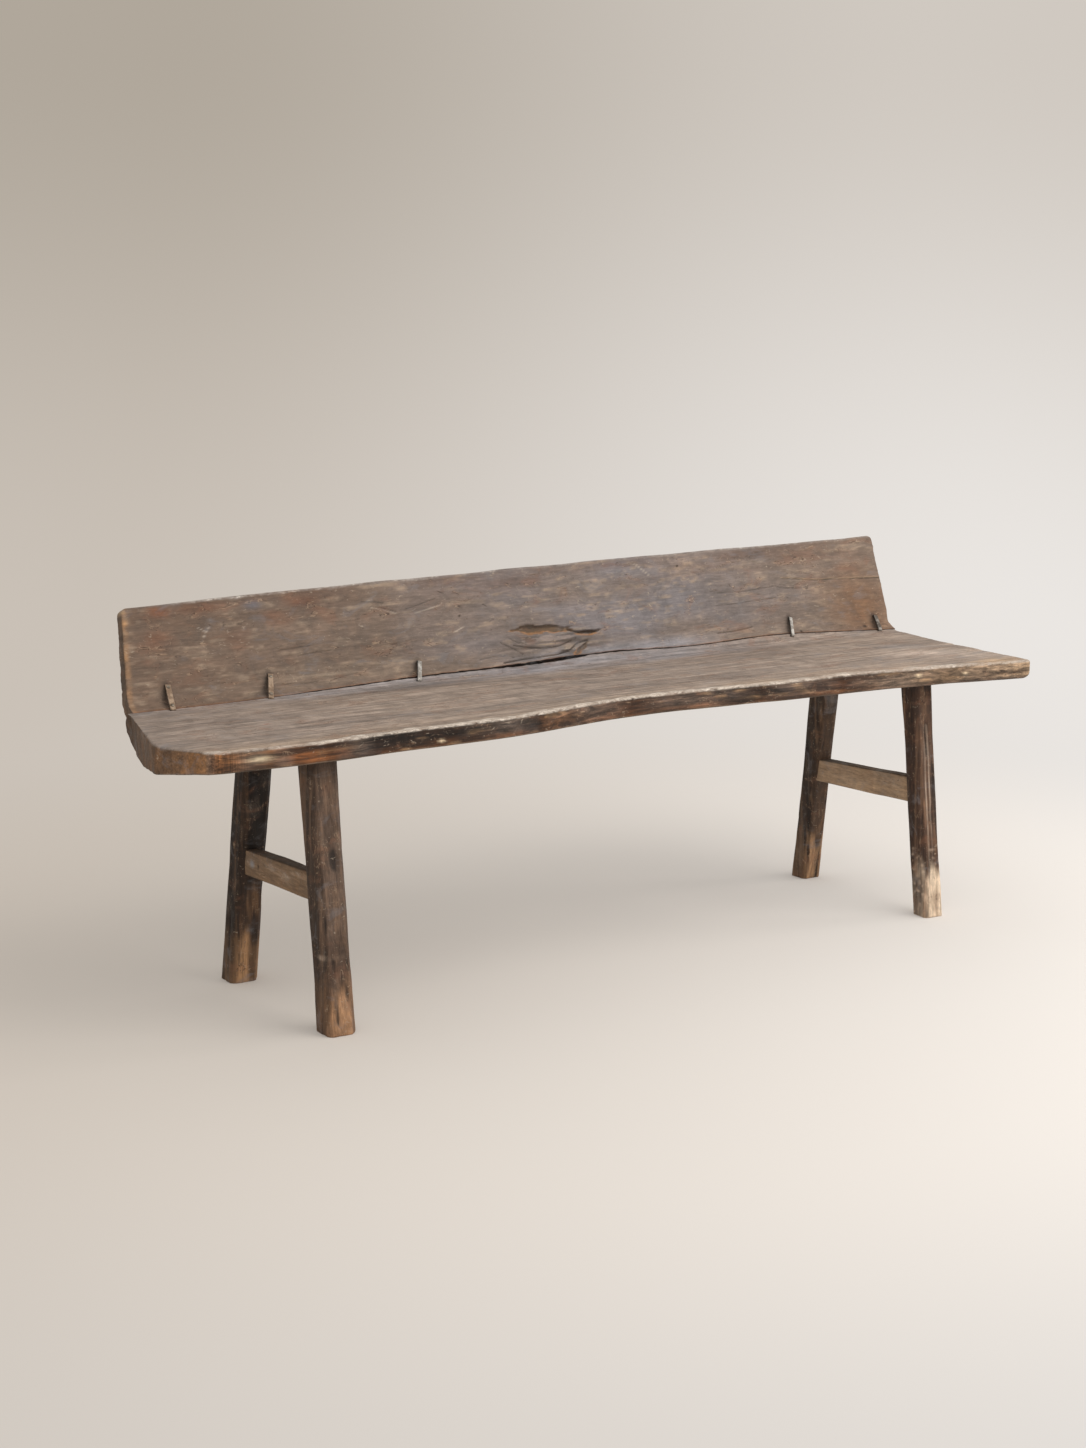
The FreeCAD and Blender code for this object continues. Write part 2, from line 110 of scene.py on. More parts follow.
def waves(points, sizes, seed):
    """Smooth noise from -1 to 1, as long as the sizes along each axis."""
    place = points / np.asarray(sizes, float)
    low = np.floor(place).astype(np.int64)
    part = place - low
    part = part ** 3 * (part * (part * 6 - 15) + 10)
    total = np.zeros(part.shape[:-1])
    for corner in np.ndindex(2, 2, 2):
        weight = np.prod(np.where(corner, part, 1 - part), axis=-1)
        total += weight * hashed(low + np.array(corner), seed)
    return total * 2 - 1


def eased(value):
    """A smooth step from 0 to 1."""
    value = np.clip(value, 0, 1)
    return value * value * (3 - 2 * value)


def patchy(points, sizes, seed, depth=0.5):
    """Noise that breaks up a mask: from 1 down to 1 less twice the depth."""
    return 1 - depth + depth * waves(points, sizes, seed)


def spots(points, sizes, seed, gain=1.0, above=0.0):
    """The peaks of a noise: 0 up to a level and 1 at the most."""
    return np.clip(gain * waves(points, sizes, seed) - above, 0, 1)


def along_only(x):
    """Points for a noise that changes only along the bench."""
    return np.stack([x, 0 * x, 0 * x], axis=1)


def lines(*stops):
    """Lattice places: from each stop to the next, in steps of about the length given with it."""
    places = []
    for (start, step), (end, _) in zip(stops, stops[1:]):
        places.append(np.linspace(start, end, max(1, round((end - start) / step)) + 1)[:-1])
    return np.concatenate(places + [[stops[-1][0]]])


def lattice(us, vs, ws):
    """A closed box of quads: the corners in the box's own measures, and the faces."""
    shape = (len(us), len(vs), len(ws))
    last = np.array(shape).reshape(3, 1, 1, 1) - 1
    index = np.indices(shape)
    outer = ((index == 0) | (index == last)).any(axis=0)
    number = np.full(shape, -1)
    number[outer] = np.arange(outer.sum())
    corners = np.stack(np.meshgrid(us, vs, ws, indexing="ij"), axis=-1)[outer]
    quads = []
    for axis in range(3):
        for end in (0, -1):
            layer = np.take(number, end, axis=axis)
            if axis == 1:
                layer = layer.T
            around = [layer[:-1, :-1], layer[1:, :-1], layer[1:, 1:], layer[:-1, 1:]]
            if end == 0:
                around.reverse()
            quads.append(np.stack(around, axis=-1).reshape(-1, 4))
    return corners, np.concatenate(quads)


def worn(corners, size, corner_radius, arris, facet=0.0):
    """Round a box: its upright corners by one radius, and the arrises above and below by another.

    A facet of 0 leaves the upright corners round, and of 1 hewn flat.
    """
    plan = corners[:, :2]
    radius = np.broadcast_to(corner_radius, len(corners))
    arris = np.minimum(np.broadcast_to(arris, len(corners)), radius * 0.98)
    inner = np.clip(plan, radius[:, None], np.array(size[:2]) - radius[:, None])
    off = plan - inner
    reach = np.abs(off).max(axis=1)
    depth = radius - reach
    height = corners[:, 2]
    below = np.minimum(height, size[2] - height)
    inward = np.where(reach > 0, np.clip(arris - depth, 0, None), 0)
    downward = np.clip(arris - below, 0, None)
    diagonal = np.maximum(np.hypot(inward, downward), 1e-9)
    share = np.where((inward > 0) & (downward > 0), np.maximum(inward, downward) / diagonal, 1)
    moved_in = np.where(inward > 0, arris - inward * share, depth)
    moved_down = np.where(downward > 0, arris - downward * share, below)
    scale = np.where(reach > 0, (radius - moved_in) / np.maximum(reach, 1e-9), 1)
    straight = np.abs(off).sum(axis=1) * facet + np.hypot(off[:, 0], off[:, 1]) * (1 - facet)
    turn = np.where(reach > 0, reach / np.maximum(straight, 1e-9), 1)
    out = corners.copy()
    out[:, :2] = inner + off * (scale * turn)[:, None]
    out[:, 2] = np.where(height < size[2] / 2, moved_down, size[2] - moved_down)
    return out


def between(value, places, values):
    """A value read off straight runs between places."""
    return np.interp(value, places, values)


def out_of(place, centre, radii, tilt):
    """How far places lie out from an oval's centre: 1 on its edge. The tilt is in degrees."""
    turn = math.radians(tilt)
    across = place[:, 0] - centre[0]
    up = place[:, 1] - centre[1]
    a = (across * math.cos(turn) + up * math.sin(turn)) / radii[0]
    b = (up * math.cos(turn) - across * math.sin(turn)) / radii[1]
    return np.hypot(a, b)


def oval(place, centre, radii, tilt=0.0):
    """A soft oval: 1 at its centre and 0 outside it."""
    return eased(1 - out_of(place, centre, radii, tilt))


def pit(place, centre, radii, tilt, ragged):
    """An oval with a firm edge, which a noise makes ragged: 1 inside and 0 outside."""
    return np.clip((1 - out_of(place, centre, radii, tilt) + ragged) * 4, 0, 1)


def stroke(place, points, width):
    """A soft line through the points: 1 along its middle and 0 beyond half its width."""
    nearest = np.full(len(place), 1e9)
    for start, end in zip(points, points[1:]):
        start = np.array(start, float)
        run = np.array(end, float) - start
        share = np.clip((place - start) @ run / (run @ run), 0, 1)
        nearest = np.minimum(nearest, np.linalg.norm(place - start - share[:, None] * run, axis=1))
    return np.clip(1 - nearest / (width / 2), 0, 1)


def linear(code):
    """The linear colour of an sRGB hex value."""
    parts = [int(code[i:i + 2], 16) / 255 for i in (1, 3, 5)]
    return [p / 12.92 if p <= 0.04045 else ((p + 0.055) / 1.055) ** 2.4 for p in parts] + [1.0]


def paint(colours, mask, code, strength=1.0):
    """Lay a colour over the others where the mask says."""
    share = np.clip(mask * strength, 0, 1)[:, None]
    colours += (np.array(linear(code)) - colours) * share


def wash(points, code):
    """A row of colours, one for each point, all the same."""
    return np.tile(np.array(linear(code)), (len(points), 1))


def added(name, data):
    """A new object in the scene."""
    made = bpy.data.objects.new(name, data)
    bpy.context.scene.collection.objects.link(made)
    return made


def smoothed(mesh):
    """Shade a mesh smooth."""
    mesh.polygons.foreach_set("use_smooth", [True] * len(mesh.polygons))


def finished(name, points, faces, nodes):
    """A smooth closed mesh from points in millimetres, riding on the bench in place of CAD nodes."""
    mesh = bpy.data.meshes.new(name)
    mesh.from_pydata((points * 0.001).tolist(), [], faces.tolist())
    smoothed(mesh)
    mesh.update()
    piece = added(name, mesh)
    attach(piece, "root")
    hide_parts(*nodes)
    return piece


def outward(points, faces):
    """The surface's direction at each point."""
    corners = points[faces]
    normal = np.cross(corners[:, 2] - corners[:, 0], corners[:, 3] - corners[:, 1])
    total = np.zeros_like(points)
    for i in range(4):
        np.add.at(total, faces[:, i], normal)
    return total / np.maximum(np.linalg.norm(total, axis=1), 1e-9)[:, None]


def store(piece, name, values):
    """Keep a value or a colour for each corner of the mesh."""
    kind = "FLOAT_COLOR" if values.ndim == 2 else "FLOAT"
    field = "color" if values.ndim == 2 else "value"
    attribute = piece.data.attributes.new(name, kind, "POINT")
    attribute.data.foreach_set(field, np.ascontiguousarray(values, np.float32).ravel())


# Materials

def node(tree, kind, inputs=(), **settings):
    """Add a node with its settings, and set or link its inputs."""
    made = tree.nodes.new(kind)
    for name, value in settings.items():
        setattr(made, name, value)
    for socket, value in inputs:
        if isinstance(value, bpy.types.NodeSocket):
            tree.links.new(value, made.inputs[socket])
        else:
            made.inputs[socket].default_value = value
    return made


def new_material(name):
    """An empty material, with the socket its surface goes into."""
    material = bpy.data.materials.new(name)
    material.use_nodes = True
    tree = material.node_tree
    tree.nodes.clear()
    return material, tree, tree.nodes.new("ShaderNodeOutputMaterial").inputs["Surface"]


def pattern(tree, coords, lengths, detail, rough=0.6, turn=(0, 0, 0), swirl=0.0):
    """Solid noise whose grains are as long as the lengths, in millimetres along each axis."""
    scale = [1000 / length for length in lengths]
    placed = node(tree, "ShaderNodeMapping", [(0, coords), ("Rotation", turn), ("Scale", scale)])
    return node(tree, "ShaderNodeTexNoise", [(0, placed.outputs[0]), ("Scale", 1.0), ("Detail", detail),
                                             ("Roughness", rough), ("Distortion", swirl)]).outputs[0]


def between_values(tree, value, start, end, low, high):
    """Spread a value's range from start to end over the range from low to high."""
    return node(tree, "ShaderNodeMapRange", [(0, value), (1, start), (2, end), (3, low), (4, high)],
                interpolation_type="SMOOTHSTEP").outputs[0]


def maths(tree, operation, first, second):
    """One sum on two values."""
    return node(tree, "ShaderNodeMath", [(0, first), (1, second)], operation=operation).outputs[0]


def blend(tree, factor, under, over, kind="MIX"):
    """One colour laid over another."""
    return node(tree, "ShaderNodeMix", [(0, factor), (6, under), (7, over)], data_type="RGBA",
                blend_type=kind).outputs[2]


def hairlines(tree, value, level, width):
    """Thin wandering lines: 1 where a noise crosses a level, and 0 a little away from it."""
    away = maths(tree, "ABSOLUTE", maths(tree, "SUBTRACT", value, level), 0.0)
    return between_values(tree, away, 0.0, width, 1.0, 0.0)


def grey(tree, value):
    """A value as a grey colour."""
    return node(tree, "ShaderNodeCombineColor", [(0, value), (1, value), (2, value)]).outputs[0]


def old_wood(name, grain, bands, streaks, fibres, mottle=0.17, worn_colour="#cbbfb2", roughness=0.7):
    """Hewn softwood, dark with age and handling.

    The patina attribute gives the broad colour. Bands, streaks and fibres, each a length and
    a width in millimetres and a strength, break it up along the grain, which is the axis 0, 1
    or 2. Small knocks leave pale and dark marks all over. The torn attribute brings out the
    grain, sawn and end_grain the marks across it, and arrises are rubbed pale where wear is.
    """
    material, tree, surface = new_material(name)
    coords = node(tree, "ShaderNodeTexCoord").outputs["Object"]

    def along_grain(long, wide):
        lengths = [wide, wide, wide]
        lengths[grain] = long
        return lengths

    def read(attribute):
        return node(tree, "ShaderNodeAttribute", attribute_name=attribute).outputs

    def times(first, second):
        return maths(tree, "MULTIPLY", first, second)

    def shaded(mask, under, value, low, high):
        tones = grey(tree, between_values(tree, value, 0.3, 0.7, low, high))
        return blend(tree, mask, under, blend(tree, 1.0, under, tones, "MULTIPLY"))

    band = pattern(tree, coords, along_grain(*bands[:2]), 4.0, swirl=0.3)
    streak = pattern(tree, coords, along_grain(*streaks[:2]), 5.0, 0.65, swirl=0.5)
    fibre = pattern(tree, coords, along_grain(*fibres[:2]), 4.0, 0.7, swirl=0.4)
    cloud = pattern(tree, coords, (34, 34, 34), 7.0, 0.68, swirl=0.8)
    knocks = pattern(tree, coords, (11, 6, 6), 4.0, 0.6, turn=(0.6, 0.2, 0.5), swirl=1.6)
    dents = pattern(tree, coords, (13, 7, 7), 4.0, 0.6, turn=(0.2, 0.5, 0.9), swirl=1.2)

    colour = read("patina")["Color"]
    for value, strength in ((band, bands[2]), (streak, streaks[2]), (fibre, fibres[2]), (cloud, mottle)):
        colour = shaded(1.0, colour, value, 1 - strength, 1 + strength)
    # ruddy and ashen patches, pale and dark knocks
    hue = pattern(tree, coords, (60, 30, 30), 5.0, 0.65, turn=(0.3, 0, 0.2), swirl=0.7)
    ruddy = between_values(tree, hue, 0.52, 0.72, 0.0, 0.3)
    colour = blend(tree, ruddy, colour, linear("#8a5f47"))
    ashen = between_values(tree, hue, 0.46, 0.3, 0.0, 0.3)
    ashen = times(ashen, maths(tree, "SUBTRACT", 1.0, read("torn")["Fac"]))
    colour = blend(tree, ashen, colour, linear("#7d7c80"))
    pale_mark = between_values(tree, knocks, 0.62, 0.72, 0.0, 0.42)
    colour = blend(tree, pale_mark, colour, linear("#b9a995"))
    dark_mark = between_values(tree, dents, 0.64, 0.74, 0.0, 0.6)
    colour = blend(tree, dark_mark, colour, linear("#372b24"))
    # hairline splits with a pale rim
    wander = pattern(tree, coords, along_grain(70, 15), 3.0, 0.55, swirl=1.2)
    broken = between_values(tree, hue, 0.5, 0.62, 0.0, 0.75)
    split = times(hairlines(tree, wander, 0.53, 0.012), broken)
    rim = times(hairlines(tree, wander, 0.555, 0.014), times(broken, 0.6))
    colour = blend(tree, rim, colour, linear("#b59c80"))
    colour = blend(tree, split, colour, linear("#33271f"))
    # torn grain, saw marks and pores
    colour = shaded(read("torn")["Fac"], colour, streak, 0.45, 1.6)
    saw = pattern(tree, coords, (2.4, 60, 30), 4.0, 0.7, turn=(0, 0.12, 0))
    colour = shaded(read("sawn")["Fac"], colour, saw, 0.6, 1.4)
    pores = pattern(tree, coords, (60, 16, 120), 6.0, 0.62, swirl=0.4)
    colour = shaded(read("end_grain")["Fac"], colour, pores, 0.7, 1.22)
    # rubbed arrises, crazed where they chipped, with a painted highlight along the chips
    wear = read("wear")["Fac"]
    chipping = pattern(tree, coords, along_grain(13, 6), 5.0, 0.7, swirl=0.9)
    rub = times(wear, between_values(tree, chipping, 0.36, 0.56, 0.1, 1.0))
    colour = blend(tree, rub, colour, linear(worn_colour))
    crazed = times(wear, hairlines(tree, chipping, 0.5, 0.02))
    colour = blend(tree, times(crazed, 0.7), colour, linear("#5b4838"))
    # painted highlight on the chipped, rubbed arrises
    painted_glint = times(wear, between_values(tree, chipping, 0.58, 0.66, 0.0, 0.9))
    colour = blend(tree, painted_glint, colour, linear("#e6dacb"))

    relief = times(streak, 0.7)
    for value, height in ((fibre, 0.4), (cloud, 0.8), (dark_mark, -0.5), (split, -0.6)):
        relief = maths(tree, "ADD", relief, times(value, height))
    bump = node(tree, "ShaderNodeBump", [("Strength", 0.5), ("Distance", 0.0012), ("Height", relief)])
    gloss = between_values(tree, cloud, 0.3, 0.7, roughness - 0.1, roughness + 0.12)
    shader = node(tree, "ShaderNodeBsdfPrincipled",
                  [("Base Color", colour), ("Roughness", gloss), ("Specular IOR Level", 0.35),
                   ("Normal", bump.outputs[0])])
    tree.links.new(shader.outputs[0], surface)
    return material


def old_iron(name, bare, oxide, metallic, roughness):
    """Hand-forged iron with a dull oxide skin, mottled where it was hammered and handled.

    The shade attribute darkens its edges and the ends that go into the wood.
    """
    material, tree, surface = new_material(name)
    coords = node(tree, "ShaderNodeTexCoord").outputs["Object"]
    mottle = pattern(tree, coords, (7.0, 7.0, 12.0), 5.0, 0.6)
    specks = pattern(tree, coords, (1.8, 1.8, 2.6), 3.0)
    shade = node(tree, "ShaderNodeAttribute", attribute_name="shade").outputs["Fac"]
    skin = between_values(tree, mottle, 0.38, 0.6, 0.0, 1.0)
    colour = blend(tree, skin, linear(bare), linear(oxide))
    tone = between_values(tree, specks, 0.3, 0.7, 0.86, 1.12)
    colour = blend(tree, 1.0, colour, grey(tree, tone), "MULTIPLY")
    colour = blend(tree, shade, colour, linear("#1d1814"))
    bump = node(tree, "ShaderNodeBump", [("Strength", 0.4), ("Distance", 0.0004), ("Height", mottle)])
    gloss = between_values(tree, mottle, 0.35, 0.65, roughness - 0.12, roughness + 0.15)
    shader = node(tree, "ShaderNodeBsdfPrincipled",
                  [("Base Color", colour), ("Metallic", metallic), ("Roughness", gloss),
                   ("Normal", bump.outputs[0])])
    tree.links.new(shader.outputs[0], surface)
    return material


# The outline and section of the log as this scene uses them

def crack_height(x):
    """Height of the crack above the middle of the cove."""
    return smooth_line(CRACK_PLACES, CRACK_WANDER, x)


def crack_gap(x):
    """How far the crack stands open at the wood's surface."""
    return between(x, GAP_PLACES, GAP_WIDTHS)


def cove_point(height):
    """The cove's surface at a height above its middle, as y and z."""
    inward = np.sqrt(COVE_RADIUS ** 2 - np.clip(height, -COVE_LIMIT, COVE_LIMIT) ** 2)
    return COVE_CENTRE + height[:, None] * UP_COVE - inward[:, None] * INTO_ROOM


def crack_exit(inner):
    """Where the crack that starts at a point of the cove comes out of the log, as y and z."""
    away = inner - LOG_CENTRE
    b = -(away @ INTO_ROOM)
    c = (away ** 2).sum(axis=1) - LOG_RADIUS ** 2
    return inner - (np.sqrt(b ** 2 - c) - b)[:, None] * INTO_ROOM


def log_point(angle):
    """The round outside of the log at an angle, as y and z."""
    return LOG_CENTRE + LOG_RADIUS * np.stack([np.cos(angle), np.sin(angle)], axis=1)


def angle_at(point):
    """The angle of a point on the round outside of the log."""
    return np.arctan2(point[:, 1] - LOG_CENTRE[1], point[:, 0] - LOG_CENTRE[0])


def up_the_back(height, out=0.0):
    """A point of the back's section at a height up its slope, and out through its thickness."""
    return CREASE + np.asarray(height)[:, None] * UP_BACK + out * OUT_BACK


def mixed(first, second, share):
    """Points between two rows of points."""
    return first + (second - first) * np.asarray(share)[:, None]


# Seat
SEAT_BOX = (1480.0, 400.0, SEAT_EDGE)
SEAT_COVE = 360.0           # the lattice row where the cove starts
EDGE_ZONE = 60.0            # next to an edge the lattice is true to size
BELLY_BREAK_Y = 105.0       # the lattice row under the start of the cove
LEFT_REAR_X = -708.5        # the left end at the crease
LEFT_SWING = 67.0           # how far it swings out, over the depth below
LEFT_SWING_DEPTH = 252.0
LEFT_CUT_Y = -103.34        # where the cut of the front left corner starts
LEFT_CUT_X_RUN = 53.0
LEFT_CUT_Y_RUN = 90.0
LEFT_SOFTNESS = 20.0        # rounding between the swing and the cut
RIGHT_REAR_X = 765.5        # the right end at the crease
RIGHT_SLANT = 4.0
RIGHT_HOLLOW = 32.0         # four times the hollow in the middle of the right end
RIGHT_DEPTH = 385.0
HEEL_TUCK = 8.0             # how far the heel is drawn in at the left end


def seat_left_end(y):
    """The left end, which swings out to the front and is then cut back."""
    swing = LEFT_REAR_X - LEFT_SWING * (CREASE_Y - y) / LEFT_SWING_DEPTH
    cut = LEFT_REAR_X - LEFT_SWING + LEFT_CUT_X_RUN * (LEFT_CUT_Y - y) / LEFT_CUT_Y_RUN
    apart = np.abs(swing - cut) / LEFT_SOFTNESS
    return np.maximum(swing, cut) + np.clip(1 - apart, 0, None) ** 2 * LEFT_SOFTNESS / 4


def seat_right_end(y):
    """The right end, a little hollow."""
    share = np.clip((CREASE_Y - y) / RIGHT_DEPTH, 0, 1)
    return RIGHT_REAR_X - RIGHT_SLANT * share - RIGHT_HOLLOW * share * (1 - share)


def front_y(x):
    """The wandering front edge."""
    return CREASE_Y - smooth_line(FRONT_PLACES, FRONT_DEPTHS, x)


def underside(y, edge_y):
    """The belly, with the slope that rises from it to the front edge."""
    edge_z = SEAT_Z - SEAT_EDGE
    slope = edge_z - (edge_z - BELLY_Z) * (y - edge_y) / BEVEL_WIDTH
    round_part = LOG_CENTRE[1] - np.sqrt(LOG_RADIUS ** 2 - np.clip(y - LOG_CENTRE[0], 0, 90) ** 2)
    return np.maximum(slope, round_part)


def ends_zone(u, length, left, right):
    """A place along the bench for a lattice measure, true to size next to both ends."""
    share = (u - EDGE_ZONE) / (length - 2 * EDGE_ZONE)
    middle = left + EDGE_ZONE + share * (right - left - 2 * EDGE_ZONE)
    near_right = right - (length - u)
    return np.where(u < EDGE_ZONE, left + u, np.where(u > length - EDGE_ZONE, near_right, middle))


def seat_points(corners):
    """Where the seat's lattice lies."""
    u, v, w = corners.T
    x = ends_zone(u, SEAT_BOX[0], -740.0, 762.0)
    tangent = CREASE_Y - COVE_TANGENT
    share = np.clip((v - EDGE_ZONE) / (SEAT_COVE - EDGE_ZONE), 0, 1)
    for _ in range(2):
        edge = front_y(x)
        zone = edge + EDGE_ZONE
        top_y = np.where(v < EDGE_ZONE, edge + v, zone + share * (tangent - zone))
        low_y = np.where(v < EDGE_ZONE, edge + v, zone + share * (BELLY_BREAK_Y - zone))
        x = ends_zone(u, SEAT_BOX[0], seat_left_end(top_y), seat_right_end(top_y))
    ragged = 0.5 * waves(along_only(x), (9, 9, 9), 3)
    through = w / SEAT_EDGE
    in_cove = np.clip((v - SEAT_COVE) / (SEAT_BOX[1] - SEAT_COVE), 0, 1)
    in_cove_zone = (v > SEAT_COVE)[:, None]
    crack = crack_height(x)
    height = -COVE_LIMIT + in_cove * (crack + COVE_LIMIT)
    top = np.stack([top_y, np.full_like(x, SEAT_Z)], axis=1)
    top = np.where(in_cove_zone, cove_point(height), top)
    low = np.stack([low_y, underside(low_y, edge)], axis=1)
    exit_angle = angle_at(crack_exit(cove_point(crack)))
    start_angle = angle_at(np.array([[BELLY_BREAK_Y, underside(BELLY_BREAK_Y, edge[:1])[0]]]))
    round_angle = start_angle + (exit_angle - start_angle) * in_cove
    low = np.where(in_cove_zone, log_point(round_angle), low)
    section = mixed(low, top, through)
    heel = eased((section[:, 0] - 80) / 90) * eased((SEAT_Z - 8 - section[:, 1]) / 26)
    x = x + HEEL_TUCK * heel * np.clip(1 - u / 300, 0, 1)
    gap = crack_gap(x)
    open_share = np.clip((through - 0.3) / 0.7, 0, 1)
    pulled = in_cove ** 3 * open_share * (0.6 * gap + ragged * np.minimum(gap, 1.5))
    section -= pulled[:, None] * UP_COVE
    return np.column_stack([x, section])


def dress(piece, colours, **masks):
    """Give a wooden piece its patina and the masks that its finish reads."""
    store(piece, "patina", colours)
    for name in ("wear", "end_grain", "sawn", "torn"):
        mask = masks.get(name, 0.0)
        store(piece, name, np.clip(np.broadcast_to(mask, len(colours)), 0, 1))


# Marks on the seat, by centre, radii, tilt in degrees, colour and strength: places on its top
# are along the bench and across it, and places on its front are along the bench and up
BROAD_STAINS = (
    ((650, -5), (60, 34), -20, "#a8a5a6", 0.25),
    ((655, -90), (150, 60), -30, "#bdab9d", 0.75),
    ((702, -205), (70, 32), 0, "#bd9f7e", 0.7),
)
SMALL_STAINS = (
    ((-621, -20), (9, 5.5), 0, "#33271f", 1.0),
    ((-571, -46), (9, 4), 0, "#8a4a35", 0.7),
)
EDGE_MARKS = (
    ((668, 427), (7, 4), 0, "#241a14", 1.3),
    ((700, 426), (6, 4), 0, "#241a14", 1.3),
    ((-480, 424), (7, 3), 0, "#241a14", 1.3),
    ((-250, 420), (9, 3), 0, "#241a14", 1.3),
    ((545, 428), (9, 4), 0, "#c6b193", 1.2),
    ((632, 426), (8, 4), 0, "#c6b193", 1.2),
    ((-360, 418), (9, 4), 0, "#c6b193", 1.2),
)
SEAT_SPLIT = ((-668, 13), (-648, 9), (-626, 7))
NICK = (-621, -20)
# painted shade on the faces inside the crack
CRACK_SHADE_TONE = "#1c140f"
# The front edge's colours, and which of them each place along the bench has
EDGE_TONES = ("#7b5231", "#604026", "#472b15", "#23150b", "#2c1b0f", "#3e2411", "#66523f", "#a78b6e")
EDGE_TONE_PLACES = (-730, -700, -640, -600, -540, -470, -330, -180, 0, 110, 240, 400, 600, 770)
EDGE_TONE_LEVELS = (0, 0, 1, 2, 2, 3, 3, 4, 5, 4.5, 4, 5, 6, 7)
# The golden bands of the left end's grain
GOLD_PLACES = (-200, -190, -158, -150, -147, -143, -132, -120, -106, -97, 60, 180)
GOLD_LEVELS = (0.7, 0.9, 0.95, 0.6, 0.25, 0.45, 0.35, 0.2, 0.4, 0.2, 0.15, 0.0)
RUB_PLACES = (-700, -600, -560, -150, 300, 420, 560, 770)
RUB_LEVELS = (0.4, 0.5, 1, 1, 0.9, 0.4, 0.85, 0.6)


def paint_marks(colours, side, place, marks):
    """Paint a table of soft ovals on one side of a piece."""
    for centre, radii, tilt, code, strength in marks:
        paint(colours, side * oval(place, centre, radii, tilt), code, strength)


